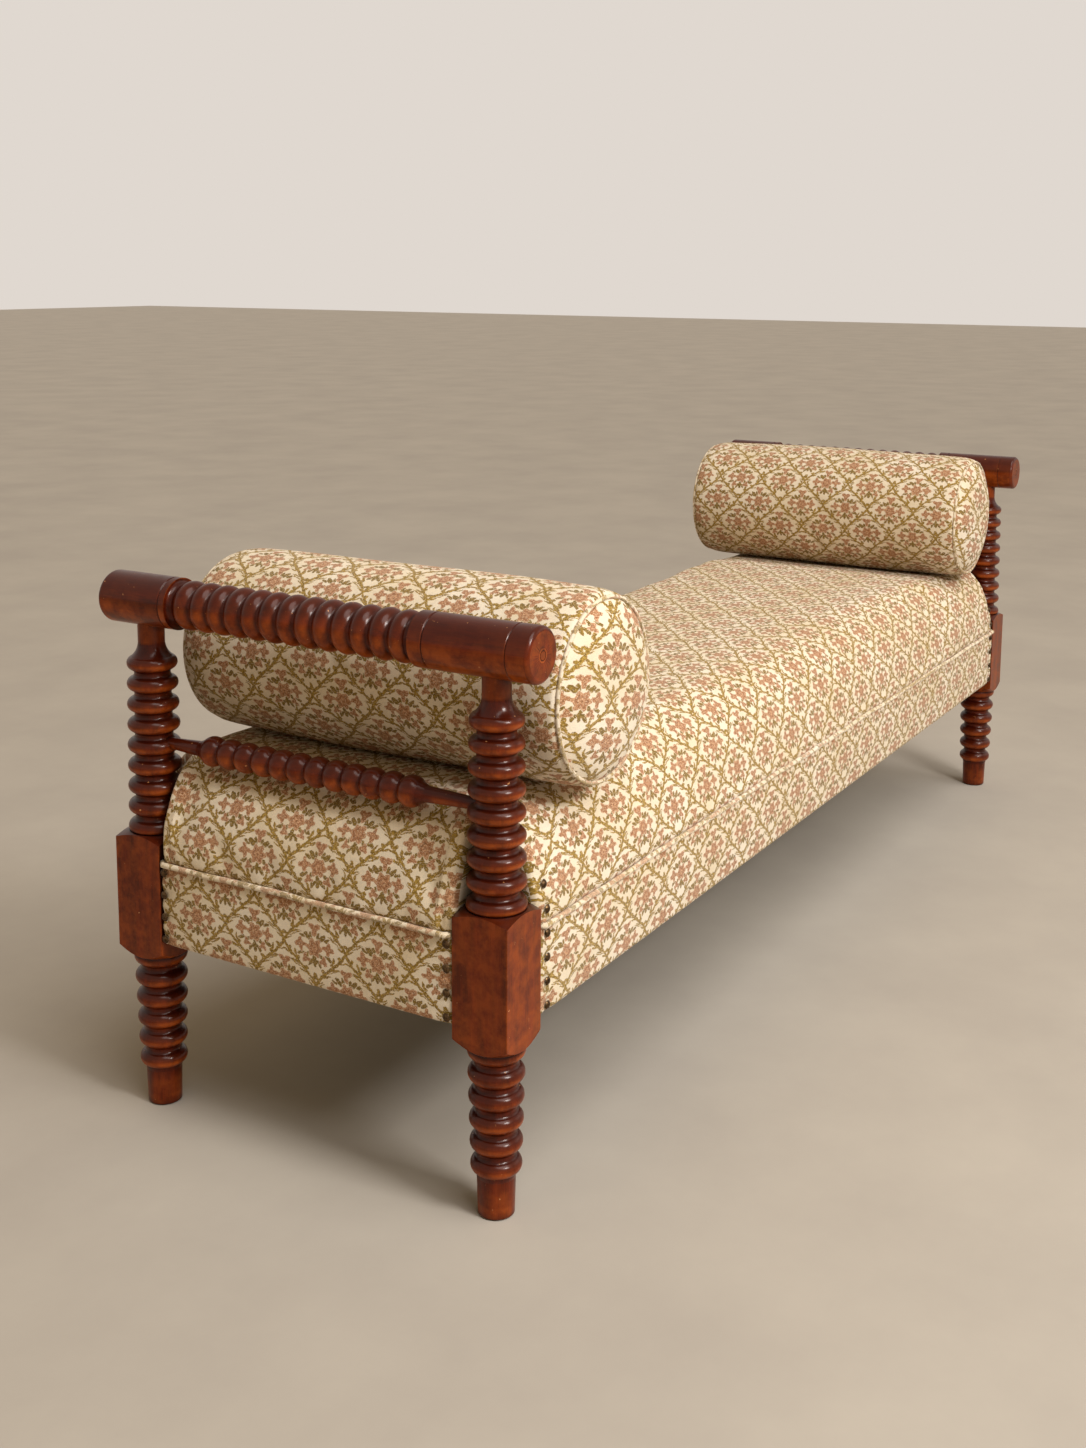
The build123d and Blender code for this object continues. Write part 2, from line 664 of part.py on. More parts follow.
# ---- the seat's cover, from the piping up ----
with BuildPart() as seat_cover:
    add(outer_dome)
    notch_corners(0, piping_height, seat_top)
    add(cover_void.part, mode=Mode.SUBTRACT)
    with Locations((0, 0, piping_height)):
        Box(2 * post_spacing_x, 2 * post_spacing_y, piping_radius + cloth_gap, align=up, mode=Mode.SUBTRACT)
    slit_for_nails()
save(seat_cover.part, "seat_cover")

# ---- nails down both edges of each post ----
nail_dome = (nail_head_radius**2 + nail_head_height**2) / (2 * nail_head_height)
nail_cap = 90 - Vector(nail_dome - nail_head_height, nail_head_radius).get_angle(Vector(1, 0))
for end, side in corners:
    with BuildPart() as nails:
        with Locations(*nail_planes(end, side)):
            Cylinder(nail_radius, nail_length, align=down)
            Sphere(nail_dome, arc_size1=nail_cap, align=up)
    save(nails.part, f"cover_nails_{end}_{side}")

# ---- dust cover under the webbing, hemmed and tacked to the rails ----
with BuildPart() as dust_cover:
    with BuildSketch(Plane.XY.offset(dust_top - dust_cover_thickness)):
        Rectangle(2 * (outer_x - dust_inset), 2 * (outer_y - dust_inset))
        with Locations(*[(ends[end] * outer_x, sides[side] * outer_y) for end, side in corners]):
            Rectangle(2 * (block_side + cloth_gap), 2 * (block_side + cloth_gap), mode=Mode.SUBTRACT)
    extrude(amount=rail_bottom - dust_top + dust_cover_thickness)
    with BuildSketch(Plane.XY.offset(dust_top)):
        Rectangle(2 * (hem_x - dust_hem / 2), 2 * (hem_y - dust_hem / 2))
        with Locations(*[(ends[end] * outer_x, sides[side] * outer_y) for end, side in corners]):
            hem_notch = block_side + cloth_gap + dust_hem
            Rectangle(2 * hem_notch, 2 * hem_notch, mode=Mode.SUBTRACT)
    extrude(amount=rail_bottom - dust_top, mode=Mode.SUBTRACT)
    bore_for_fixings()
save(dust_cover.part, "dust_cover")
with BuildPart() as dust_tack_set:
    with Locations(*dust_tack_spots):
        Cylinder(tack_radius, tack_length, align=up)
        Cylinder(tack_head_radius, tack_head_height, align=down)
save(dust_tack_set.part, "dust_cover_tacks")

# ---- the two loose bolsters ----
seam = bolster_length / 2 - bolster_piping_radius
bolster_shifts = {"near": near_bolster_shift, "far": far_bolster_shift}
for end, shift in bolster_shifts.items():
    across = Plane((ends[end] * bolster_x, shift, bolster_z), x_dir=(1, 0, 0), z_dir=(0, -1, 0))
    seams = {"front": across.offset(seam), "back": across.offset(-seam)}
    with BuildPart() as core:
        with BuildSketch(across):
            Circle(bolster_radius - ticking - cloth_gap)
        extrude(amount=seam - ticking - cloth_gap, both=True)
        with Locations(*seams.values()):
            Torus(bolster_radius - ticking / 2, bolster_piping_radius + glue_gap, mode=Mode.SUBTRACT)
    save(core.part, f"bolster_{end}_core")
    with BuildPart() as tube:
        with BuildSketch(across):
            Circle(bolster_radius)
            Circle(bolster_radius - ticking, mode=Mode.SUBTRACT)
        extrude(amount=seam, both=True)
        with Locations(*seams.values()):
            Torus(bolster_radius - ticking / 2, bolster_piping_radius + glue_gap, mode=Mode.SUBTRACT)
    save(tube.part, f"bolster_{end}_cover")
    for side, plane in seams.items():
        with BuildPart() as panel:
            with BuildSketch(plane):
                Circle(bolster_radius - ticking - cloth_gap)
            extrude(amount=ticking * sides[side])
            with Locations(plane):
                Torus(bolster_radius - ticking / 2, bolster_piping_radius + glue_gap, mode=Mode.SUBTRACT)
        save(panel.part, f"bolster_{end}_end_{side}")
        with BuildPart() as ring:
            with Locations(plane):
                Torus(bolster_radius - ticking / 2, bolster_piping_radius)
        save(ring.part, f"bolster_{end}_piping_{side}")
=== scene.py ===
import math
import random
from functools import partial, reduce

import bmesh
import bpy
from mathutils import Matrix, Vector


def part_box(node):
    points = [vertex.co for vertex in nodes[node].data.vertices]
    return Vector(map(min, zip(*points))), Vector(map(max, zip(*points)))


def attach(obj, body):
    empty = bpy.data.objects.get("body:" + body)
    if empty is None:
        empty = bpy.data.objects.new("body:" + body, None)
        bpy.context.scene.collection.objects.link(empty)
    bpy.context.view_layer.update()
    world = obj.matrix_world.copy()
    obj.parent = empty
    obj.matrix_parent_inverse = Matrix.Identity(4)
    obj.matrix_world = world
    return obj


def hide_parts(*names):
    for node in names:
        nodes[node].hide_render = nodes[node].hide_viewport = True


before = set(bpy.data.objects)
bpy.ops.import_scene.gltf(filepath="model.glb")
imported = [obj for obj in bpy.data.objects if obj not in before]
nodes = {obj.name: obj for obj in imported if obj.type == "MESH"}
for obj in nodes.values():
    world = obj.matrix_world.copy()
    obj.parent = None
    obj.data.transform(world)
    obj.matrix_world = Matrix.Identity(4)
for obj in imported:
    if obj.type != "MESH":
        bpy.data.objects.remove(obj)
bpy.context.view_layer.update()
print("stage: frame loaded,", len(nodes), "nodes")

# Metres throughout. The bed lies along X, its near end towards -X, its front towards -Y.
# The places that the soft pieces fit to are read off the solids.
blockGap = 0.0003  # between the borders and the blocks of the posts
bed = {
    "outerX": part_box("seat_border_far")[1].x,
    "outerY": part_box("seat_border_back")[1].y,
    "innerX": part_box("seat_border_front")[1].x + blockGap,
    "innerY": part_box("seat_border_near")[1].y + blockGap,
    "pipingZ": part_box("seat_border_near")[1].z,
    "seatTop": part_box("seat_cover")[1].z,
    "shoulder": 0.095,  # how far the rounded shoulder of the seat reaches in
}


def linear(hexColour):
    values = [int(hexColour[i : i + 2], 16) / 255 for i in (1, 3, 5)]
    return [v / 12.92 if v <= 0.04045 else ((v + 0.055) / 1.055) ** 2.4 for v in values] + [1.0]


def add(tree, kind, *values, out=0, stops=None, **settings):
    # adds one node and gives one of its outputs, by number or name. kind may carry an operation, as in
    # "Math ADD". Each value goes to the input in its place: a constant, a hex colour, another output,
    # or None to leave it. stops are a colour ramp's (place, hex colour) pairs.
    kind, _, operation = kind.partition(" ")
    node = tree.nodes.new("ShaderNode" + kind)
    if operation:
        node.operation = operation
    for name, value in settings.items():
        setattr(node, name, value)
    for socket, value in zip(node.inputs, values):
        if isinstance(value, bpy.types.NodeSocket):
            tree.links.new(value, socket)
        elif value is not None:
            socket.default_value = linear(value) if isinstance(value, str) else value
    for i, (place, colour) in enumerate(stops or ()):
        elements = node.color_ramp.elements
        element = elements[i] if i < len(elements) else elements.new(place)
        element.position = place
        element.color = linear(colour)
    return node.outputs[out]


def newMaterial(name, **constants):
    # a principled shader, its constants set straight on its sockets. Gives the material, what adds
    # nodes to it, and what links an output to a socket of its shader.
    material = bpy.data.materials.new(name)
    material.use_nodes = True
    tree = material.node_tree
    sockets = tree.nodes["Principled BSDF"].inputs
    for socket, value in constants.items():
        sockets[socket].default_value = value

    def link(output, socket):
        tree.links.new(output, sockets[socket])

    return material, partial(add, tree), link


# Woven upholstery tapestry, cotton warp and wool weft: matt, with a fine ribbed face. It shows an
# ogee trellis of olive-gold stems with hooked leaflets, and an upright spray in each cell.
tapestryLook = {
    "cellWidth": 0.0965,
    "cellHeight": 0.1020,
    "stem": 0.0021,  # half its width
    "thread": 0.0008,  # real threads are about 0.5 mm apart: drawn coarser so that they show
    "sway": 0.0062,  # width over which the drawing wanders
    "ground": "#e6d6ba",
    "groundPale": "#f2e7d6",
    "groundThread": "#b2955f",
    "stemDark": "#7a5e20",
    "stemLight": "#ad8c3d",
    "rose": "#b07a55",
    "roseDark": "#80522f",
    "rosePale": "#cfa47e",
    "leaf": "#96793a",
    "leafDark": "#6f561f",
}
sprayU = 0.75 * tapestryLook["cellWidth"]  # where a spray stands across the pattern

# The drawing in one cell, in metres from its middle. What stands beside the middle is on both sides.
sprayLook = {
    # x, y, radius, petals, phase and depth of the scallops
    "blooms": [
        (0.0, -0.0010, 0.0130, 6.0, 0.6, 0.14),
        (0.0215, 0.0005, 0.0098, 4.0, 0.5, 0.24),
        (0.0, 0.0235, 0.0102, 3.0, -1.57, 0.28),
        (0.0135, -0.0170, 0.0070, 3.0, 2.2, 0.26),
    ],
    # x, y, length, width, lean
    "blades": [
        (0.0115, 0.0130, 0.0068, 0.0034, 0.75),
        (0.0055, 0.0150, 0.0045, 0.0022, 1.25),
        (0.0215, -0.0115, 0.0058, 0.0026, -0.45),
        (0.0, -0.0185, 0.0032, 0.0085, 0.0),
        (0.0065, -0.0215, 0.0058, 0.0025, -1.0),
        (0.0190, 0.0115, 0.0050, 0.0022, 0.45),
        (0.0100, -0.0110, 0.0045, 0.0026, -0.8),
    ],
    # leaflets on the stems: how many to a cell's height, lift, distance from the stem, length, width
    "leaflets": [(9.0, 0.1, 0.0037, 0.0023, 0.0031), (4.0, 0.6, 0.0060, 0.0026, 0.0034)],
}


def weave(node, place, pitch):
    # height of a plain weave, -1 to 1: two sets of threads over and under each other
    sets = []
    for i in (0, 1):
        along = node("SeparateXYZ", place, out=i)
        sets.append(node("Math SINE", node("Math MULTIPLY", along, math.pi / pitch)))
    return node("Math MULTIPLY", *sets)


def tapestryMaterial(name, turn=0.0, strength=1.0, look=tapestryLook):
    # strength below 1 fades the drawing, as on a narrow bias strip
    material, node, link = newMaterial(name, **{
        "Roughness": 0.9,
        "IOR": 1.47,
        "Specular IOR Level": 0.2,
        "Sheen Weight": 0.15,
        "Sheen Roughness": 0.5,
    })
    uv = node("UVMap", uv_map="Cloth")
    if turn:
        uv = node("Mapping", uv, None, (0, 0, turn))
    wide, tall, thread = look["cellWidth"], look["cellHeight"], look["thread"]

    # the drawing is stepped to the thread, and wanders a little as woven drawing does
    stepped = node("VectorMath SNAP", uv, (thread,) * 3)
    sway = node("TexNoise", stepped, None, 130.0, 2.0, 0.6, out="Color")
    sway = node("VectorMath SUBTRACT", sway, (0.5, 0.5, 0.5))
    drawn = node("VectorMath MULTIPLY_ADD", sway, (look["sway"],) * 3, stepped)
    p = node("Math DIVIDE", node("SeparateXYZ", drawn, out="X"), wide)
    q = node("Math DIVIDE", node("SeparateXYZ", drawn, out="Y"), tall)

    def wrapped(value):
        # the signed distance to the nearest whole number
        return node("Math SUBTRACT", value, node("Math ROUND", value))

    # each stem runs as a wave between a sine and a zigzag, which draws cells between ovals and lozenges
    turnQ = node("Math MULTIPLY", q, 2 * math.pi)
    zigzag = node("Math MULTIPLY_ADD", node("Math ABSOLUTE", wrapped(q)), -0.54, 0.135)
    wave = node("Math MULTIPLY_ADD", node("Math COSINE", turnQ), 0.115, zigzag)
    stemA = wrapped(node("Math SUBTRACT", p, wave))
    stemB = wrapped(node("Math SUBTRACT", node("Math ADD", p, wave), 0.5))
    sizeA, sizeB = node("Math ABSOLUTE", stemA), node("Math ABSOLUTE", stemB)
    slope = node("Math MULTIPLY_ADD", node("Math ABSOLUTE", node("Math SINE", turnQ)), 0.68, 0.51)
    lean = node("Math SQRT", node("Math MULTIPLY_ADD", slope, slope, 1.0))
    stemDistance = node("Math MULTIPLY", node("Math MINIMUM", sizeA, sizeB), wide)
    stemDistance = node("Math DIVIDE", stemDistance, lean)
    onA = node("Math LESS_THAN", sizeA, sizeB)
    signA = node("Math MULTIPLY", node("Math SIGN", stemA), onA)
    side = node("Math MULTIPLY_ADD", node("Math SIGN", stemB), node("Math SUBTRACT", onA, 1.0), signA)

    def ellipse(along, across):
        return node("Math ADD", node("Math MULTIPLY", along, along), node("Math MULTIPLY", across, across))

    def leaflets(count, lift, offset, length, width):
        # count hooked leaflets to a cell's height, on one side of the stem and then the other
        place = node("Math MULTIPLY_ADD", side, 0.25, node("Math MULTIPLY_ADD", q, count, lift))
        hooked = wrapped(node("Math MULTIPLY_ADD", stemDistance, -55.0, place))
        across = node("Math DIVIDE", node("Math SUBTRACT", stemDistance, offset), width)
        return ellipse(node("Math MULTIPLY", hooked, 1.25 * tall / count / length), across)

    # the cells come in two columns, half a cell apart: which one this is in, and the place in its cell
    fromColumn = node("Math ABSOLUTE", wrapped(node("Math SUBTRACT", p, 0.75)))
    inA = node("Math LESS_THAN", fromColumn, node("Math ADD", wave, 0.25))
    middleP, middleQ = node("Math MULTIPLY_ADD", inA, 0.5, 0.25), node("Math MULTIPLY_ADD", inA, -0.5, 0.5)
    cellX = node("Math MULTIPLY", wrapped(node("Math SUBTRACT", p, middleP)), wide)
    cellY = node("Math MULTIPLY", wrapped(node("Math SUBTRACT", q, middleQ)), tall)
    mirrored = node("Math ABSOLUTE", cellX)

    def bloom(x, y, radius, petals, phase, depth):
        # a flower: 0 in its middle and 1 at its edge, which is scalloped into petals
        dx, dy = node("Math SUBTRACT", mirrored if x else cellX, x), node("Math SUBTRACT", cellY, y)
        angle = node("Math MULTIPLY_ADD", node("Math ARCTAN2", dy, dx), petals, phase)
        edge = node("Math MULTIPLY_ADD", node("Math COSINE", angle), depth * radius, (1 - depth) * radius)
        return node("Math DIVIDE", node("Math SQRT", ellipse(dx, dy)), edge)

    def blade(x, y, length, width, lean):
        # a leaf: an ellipse leaning by an angle, 1 at its edge
        dx, dy = node("Math SUBTRACT", mirrored, x), node("Math SUBTRACT", cellY, y)
        cos, sin = math.cos(lean), math.sin(lean)
        a = node("Math MULTIPLY_ADD", dx, cos / length, node("Math MULTIPLY", dy, sin / length))
        b = node("Math MULTIPLY_ADD", dx, -sin / width, node("Math MULTIPLY", dy, cos / width))
        return ellipse(a, b)

    least = partial(reduce, partial(node, "Math MINIMUM"))
    bloomDistance = least([bloom(*sizes) for sizes in sprayLook["blooms"]])
    leafDistance = least([blade(*sizes) for sizes in sprayLook["blades"]])
    leafletDistance = least([leaflets(*sizes) for sizes in sprayLook["leaflets"]])
    onStem = node("Math LESS_THAN", stemDistance, look["stem"])
    onStem = node("Math MAXIMUM", onStem, node("Math LESS_THAN", leafletDistance, 1.0))
    onLeaf = node("Math LESS_THAN", leafDistance, 1.0)
    onBloom = node("Math LESS_THAN", bloomDistance, 1.0)

    # single threads differ in dye, and the whole has faded unevenly
    dye = node("TexWhiteNoise", stepped)
    faded = node("TexNoise", uv, None, 9.0, 3.0, 0.6)
    mottle = node("TexNoise", uv, None, 330.0, 2.0, 0.65)
    flecks = node("TexNoise", uv, None, 620.0, 1.0, 0.5)
    ground = node("ValToRGB", faded, stops=[(0.35, look["ground"]), (0.65, look["groundPale"])])
    ground = node("MixRGB", node("Math MULTIPLY", dye, 0.26), ground, look["groundThread"])
    stems = node("ValToRGB", mottle, stops=[(0.40, look["stemDark"]), (0.60, look["stemLight"])])
    leaves = node("ValToRGB", mottle, stops=[(0.40, look["leafDark"]), (0.60, look["leaf"])])
    blooms = node("ValToRGB", mottle, stops=[(0.38, look["roseDark"]), (0.62, look["rose"])])
    rings = node("Math COSINE", node("Math MULTIPLY", bloomDistance, 11.0))
    rings = node("Math MULTIPLY_ADD", rings, -0.5, 0.5)
    rings = node("Math MULTIPLY", rings, node("MapRange", flecks, 0.40, 0.60, 0.25, 1.0))
    blooms = node("MixRGB", rings, blooms, look["rosePale"])
    # a pale line of ground parts the flowers from the leaves, and stray threads of it show everywhere
    parting = node("Math MULTIPLY", node("Math LESS_THAN", bloomDistance, 1.10), 0.7)
    colour = node("MixRGB", onLeaf, node("MixRGB", onStem, ground, stems), leaves)
    colour = node("MixRGB", onBloom, node("MixRGB", parting, colour, ground), blooms)
    colour = node("MixRGB", node("MapRange", flecks, 0.60, 0.66, 0.0, 0.55), colour, ground)
    if strength < 1:
        colour = node("MixRGB", strength, ground, colour)
    colour = node("MixRGB", 1.0, colour, node("Math MULTIPLY_ADD", dye, 0.34, 0.80), blend_type="MULTIPLY")
    link(colour, "Base Color")

    # the weave stands up in ribs, and the drawing a little above the ground
    raised = node("Math MAXIMUM", onBloom, node("Math MAXIMUM", onStem, onLeaf))
    height = node("Math MULTIPLY_ADD", raised, 0.8, node("Math MULTIPLY", weave(node, uv, thread), 0.5))
    height = node("Math MULTIPLY_ADD", mottle, 0.9, height)
    link(node("Bump", 0.6, 0.0007, None, height), "Normal")
    return material


tapestry = tapestryMaterial("tapestryCloth")
pipingCloth = tapestryMaterial("tapestryBiasPiping", turn=math.radians(45), strength=0.75)
print("stage: tapestry drawn")


# Turned hardwood, stained mahogany red and French polished: deep red-brown, worn through to orange on
# crests and arrises, under a soft gloss. Painted shade darkens what faces up and turns the throats of
# the turning nearly black, and a painted orange glow lies on the undersides of the crests.
woodLook = {
    "deep": "#2f0a03",
    "body": "#501604",
    "warm": "#6a230a",
    # the orange of worn crests and arrises, and of the painted glow under the crests
    "worn": "#b2561b",
    "throat": "#180504",
    "scuff": "#c58a58",
    "gloss": "#f0a070",
    "poreLength": 0.022,
    "grainWidth": 0.0011,
    "coat": 0.35,
}


def woodMaterial(name, grainAxis, look=woodLook):
    # grainAxis is the direction of the grain
    material, node, link = newMaterial(name, **{
        "IOR": 1.5,
        "Specular IOR Level": 0.1,
        "Specular Tint": linear(look["gloss"]),
        "Coat Weight": look["coat"],
        "Coat Roughness": 0.2,
        "Coat IOR": 1.5,
    })
    place = node("TexCoord", out="Object")
    along = "XYZ".index(grainAxis)
    fineScale = tuple(1 / look["poreLength"] if i == along else 1 / look["grainWidth"] for i in range(3))
    broadScale = tuple(7.0 if i == along else 70.0 for i in range(3))
    fine = node("TexNoise", node("VectorMath MULTIPLY", place, fineScale), None, 1.0, 4.0, 0.62)
    broad = node("TexNoise", node("VectorMath MULTIPLY", place, broadScale), None, 1.0, 3.0, 0.55)
    shade = node("Math MULTIPLY_ADD", fine, 0.4, node("Math MULTIPLY", broad, 0.6))
    tones = [(0.36, look["deep"]), (0.50, look["body"]), (0.66, look["warm"])]
    colour = node("ValToRGB", shade, stops=tones)
    # crests and arrises are worn through to orange, and on the crests the orange is also a painted glow of
    # light thrown up from the floor, strongest on what faces down
    pointiness = node("NewGeometry", out="Pointiness")
    facing = node("SeparateXYZ", node("NewGeometry", out="Normal"), out="Z")
    patchy = node("TexNoise", place, None, 42.0, 4.0, 0.65)
    under = node("MapRange", facing, 0.15, -0.25, 0.20, 0.85)
    crestWearAndGlow = node("Math MULTIPLY", node("MapRange", pointiness, 0.50, 0.525), under)
    arris = node("MapRange", pointiness, 0.55, 0.62)
    wearAndGlow = node("Math MAXIMUM", crestWearAndGlow, arris)
    wearAndGlow = node("Math MULTIPLY", wearAndGlow, node("MapRange", patchy, 0.38, 0.62, 0.25, 1.0))
    colour = node("MixRGB", node("Math MULTIPLY", wearAndGlow, 0.8), colour, look["worn"])
    # painted shade: darker on what faces up, and nearly black in the throats of the turning
    colour = node("MixRGB", node("MapRange", facing, 0.0, 0.55, 0.0, 0.75), colour, look["deep"])
    # the painted shade in the throats, from ambient occlusion and the hollows of the mesh
    shelter = node("AmbientOcclusion", None, 0.014, out="AO", samples=6)
    hollow = node("MapRange", pointiness, 0.495, 0.44, 0.0, 0.85)
    paintedShade = node("Math MAXIMUM", hollow, node("MapRange", shelter, 0.85, 0.42, 0.0, 0.95))
    colour = node("MixRGB", paintedShade, colour, look["throat"])
    nicks = node("MapRange", node("TexNoise", place, None, 190.0, 2.0, 0.5), 0.74, 0.77, 0.0, 0.8)
    colour = node("MixRGB", nicks, colour, look["scuff"])
    link(colour, "Base Color")
    link(node("MapRange", patchy, 0.3, 0.75, 0.30, 0.50), "Roughness")
    link(node("Bump", 0.15, 0.0004, None, fine), "Normal")
    return material


postWood = woodMaterial("mahoganyStainedPost", "Z")
railWood = woodMaterial("mahoganyStainedRail", "Y")

# Sawn pine, unfinished: pale straw, darker in the late wood.
pineLook = {
    "deep": "#9a7446",
    "body": "#b98f5c",
    "warm": "#cda873",
    "worn": "#d8b988",
    "throat": "#7d5c36",
    "scuff": "#e0c79b",
    "gloss": "#ffffff",
    "poreLength": 0.06,
    "grainWidth": 0.0025,
    "coat": 0.0,
}
pine = woodMaterial("sawnPine", "X", pineLook)


def metalMaterial(name, colour, dark, roughness, grain):
    # drawn or stamped metal, stained with age
    material, node, link = newMaterial(name, Metallic=1.0)
    stain = node("TexNoise", node("TexCoord", out="Object"), None, grain, 4.0, 0.6)
    stained = node("ValToRGB", stain, stops=[(0.35, dark), (0.65, colour)])
    link(stained, "Base Color")
    worn = node("MapRange", stain, 0.3, 0.7, roughness + 0.12, roughness - 0.06)
    link(worn, "Roughness")
    return material


# Cast brass nails browned with age; zinc-bright screws; blued tacks; coppered spring wire.
bronze = metalMaterial("antiqueBronzeNails", "#6a5136", "#2c2118", 0.38, 420.0)
steel = metalMaterial("brightSteel", "#a8a6a2", "#6f6d69", 0.35, 150.0)
blued = metalMaterial("bluedSteelTacks", "#4b4e57", "#24262b", 0.42, 260.0)
springSteel = metalMaterial("copperedSpringWire", "#9a7456", "#4f3d30", 0.4, 200.0)


def plainClothMaterial(name, pale, dark, threadSize):
    # plain weave of uneven threads
    soft = {"Roughness": 0.9, "Sheen Weight": 0.2, "Sheen Roughness": 0.5}
    material, node, link = newMaterial(name, **soft)
    place = node("TexCoord", out="Object")
    height = node("Math MULTIPLY_ADD", weave(node, place, threadSize), 0.5, 0.5)
    shade = node("Math MULTIPLY", height, node("TexNoise", place, None, 300.0, 2.0, 0.5))
    link(node("ValToRGB", shade, stops=[(0.1, dark), (0.6, pale)]), "Base Color")
    link(node("Bump", 0.6, 0.0005, None, height), "Normal")
    return material


# Undyed jute and hessian; raw cotton wadding; thin black cotton underneath.
jute = plainClothMaterial("juteWebbing", "#a98c60", "#6b5535", 0.0022)
hessianCloth = plainClothMaterial("hessianJute", "#b0946a", "#6e5939", 0.0018)
wadding = plainClothMaterial("cottonWadding", "#d9d0bd", "#b5ab95", 0.004)
blackCotton = plainClothMaterial("blackCotton", "#2b2a29", "#121212", 0.0012)

finishes = {
    "post_": postWood,
    "top_rail_cap_screw": steel,
    "top_rail_": railWood,
    "spindle_": railWood,
    "side_rail_": pine,
    "end_rail_": pine,
    "corner_brace": pine,
    "tacking_stiles": pine,
    "corner_screws": steel,
    "webbing_tacks": blued,
    "webbing_": jute,
    "spring_row": springSteel,
    "spring_hessian": hessianCloth,
    "seat_stuffing": wadding,
    "cover_nails": bronze,
    "dust_cover_tacks": blued,
    "dust_cover": blackCotton,
    "bolster_near_core": wadding,
    "bolster_far_core": wadding,
    "seat_": tapestry,
    "bolster_": tapestry,
}
for name, solid in nodes.items():
    material = next(value for key, value in finishes.items() if name.startswith(key))
    solid.data.materials.clear()
    solid.data.materials.append(material)
print("stage: finishes on the solids")


def newObject(name, data):
    made = bpy.data.objects.new(name, data)
    bpy.context.scene.collection.objects.link(made)
    return made


def newPiece(name, mesh, body):
    piece = newObject(name, mesh)
    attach(piece, body)
    return piece


def meshPiece(name, points, faces, uvs, material, slot, body):
    # a smooth mesh object, with one UV pair per face corner in the layer "Cloth"
    mesh = bpy.data.meshes.new(name)
    mesh.from_pydata(points, [], faces)
    layer = mesh.uv_layers.new(name="Cloth")
    layer.data.foreach_set("uv", [c for face in uvs for uv in face for c in uv])
    mesh.polygons.foreach_set("use_smooth", [True] * len(mesh.polygons))
    mesh.materials.append(material)
    mesh.update()
    return newPiece(name, mesh, body)


def faceOutwards(piece):
    bm = bmesh.new()
    bm.from_mesh(piece.data)
    bmesh.ops.recalc_face_normals(bm, faces=bm.faces)
    bm.to_mesh(piece.data)
    bm.free()


def tube(name, path, radius, body, closed=False, around=16):
    # a covered cord along a path, with flat ends where it isn't closed
    points, faces, uvs = [], [], []
    count = len(path)
    lengths = [0.0]
    for a, b in zip(path, path[1:] + path[:1]):
        lengths.append(lengths[-1] + (b - a).length)
    side = None
    for i, p in enumerate(path):
        before = path[i - 1] if i or closed else p
        after = path[(i + 1) % count] if i < count - 1 or closed else p
        along = (after - before).normalized()
        side = along.cross(Vector((0, 0, 1))) if side is None else side - along * side.dot(along)
        side.normalize()
        third = along.cross(side)
        for k in range(around):
            angle = 2 * math.pi * k / around
            points.append(p + radius * (math.cos(angle) * side + math.sin(angle) * third))
    step = 2 * math.pi * radius / around
    for i in range(count if closed else count - 1):
        for k in range(around):
            j, m = (i + 1) % count, (k + 1) % around
            faces.append((i * around + k, i * around + m, j * around + m, j * around + k))
            low, high, here, there = k * step, (k + 1) * step, lengths[i], lengths[i + 1]
            uvs.append(((here, low), (here, high), (there, high), (there, low)))
    if not closed:
        for start in (0, (count - 1) * around):
            faces.append([start + k for k in range(around)])
            uvs.append([(0.0, 0.0)] * around)
    piece = meshPiece(name, points, faces, uvs, pipingCloth, "piping_fabric", body)
    faceOutwards(piece)
    return piece


def ease(value):
    value = min(1.0, max(0.0, value))
    return value * value * (3 - 2 * value)


def tuckIn(gap, radius):
    # how far a rounded end has turned in, at a gap from the very end
    return radius - math.sqrt(max(0.0, radius**2 - (radius - gap) ** 2)) if gap < radius else 0.0


def giveWay(depth, soft, start):
    # how far cloth gives way to something that would pass into it by a depth. It starts softly, at start
    # times soft, and in the end gives way by the whole depth.
    return soft * math.log1p(math.exp(depth / soft)) if depth > start * soft else 0.0


clothLook = {
    "pressure": 4.0,
    "slack": 0.012,  # share by which the cloth is larger than the form under it
    "quality": 4,
    "bending": 2.0,
    "frames": 20,
    "cap": 0.006,  # the furthest that a point may move
}


def swell(piece, pinned):
    # blows the cloth up from inside, held at its pinned vertices, and keeps the result as plain mesh
    group = piece.vertex_groups.new(name="pinned")
    group.add(pinned, 1.0, "REPLACE")
    modifier = piece.modifiers.new("cloth", "CLOTH")
    settings = modifier.settings
    settings.quality = clothLook["quality"]
    settings.vertex_group_mass = "pinned"
    settings.use_pressure = True
    settings.uniform_pressure_force = clothLook["pressure"]
    settings.shrink_min = settings.shrink_max = -clothLook["slack"]
    settings.bending_stiffness = clothLook["bending"]
    settings.effector_weights.gravity = 0
    modifier.collision_settings.use_collision = False
    modifier.point_cache.frame_end = clothLook["frames"]
    scene = bpy.context.scene
    for step in range(1, clothLook["frames"] + 1):
        scene.frame_set(step)
    blown = piece.evaluated_get(bpy.context.evaluated_depsgraph_get()).data.vertices
    moves = [(b.co - v.co) for v, b in zip(piece.data.vertices, blown)]
    piece.modifiers.remove(modifier)
    piece.vertex_groups.clear()
    cap = clothLook["cap"]
    for vertex, move in zip(piece.data.vertices, moves):
        size = move.length
        if size > 1e-7:
            # eases towards the cap and never passes it
            vertex.co += move * (cap * math.tanh(size / cap) / size)
    scene.frame_set(1)


def smooth(piece):
    # one subdivision, applied
    modifier = piece.modifiers.new("smooth", "SUBSURF")
    modifier.levels = modifier.render_levels = 1
    mesh = bpy.data.meshes.new_from_object(piece.evaluated_get(bpy.context.evaluated_depsgraph_get()))
    mesh.name = piece.name
    piece.modifiers.clear()
    piece.data = mesh


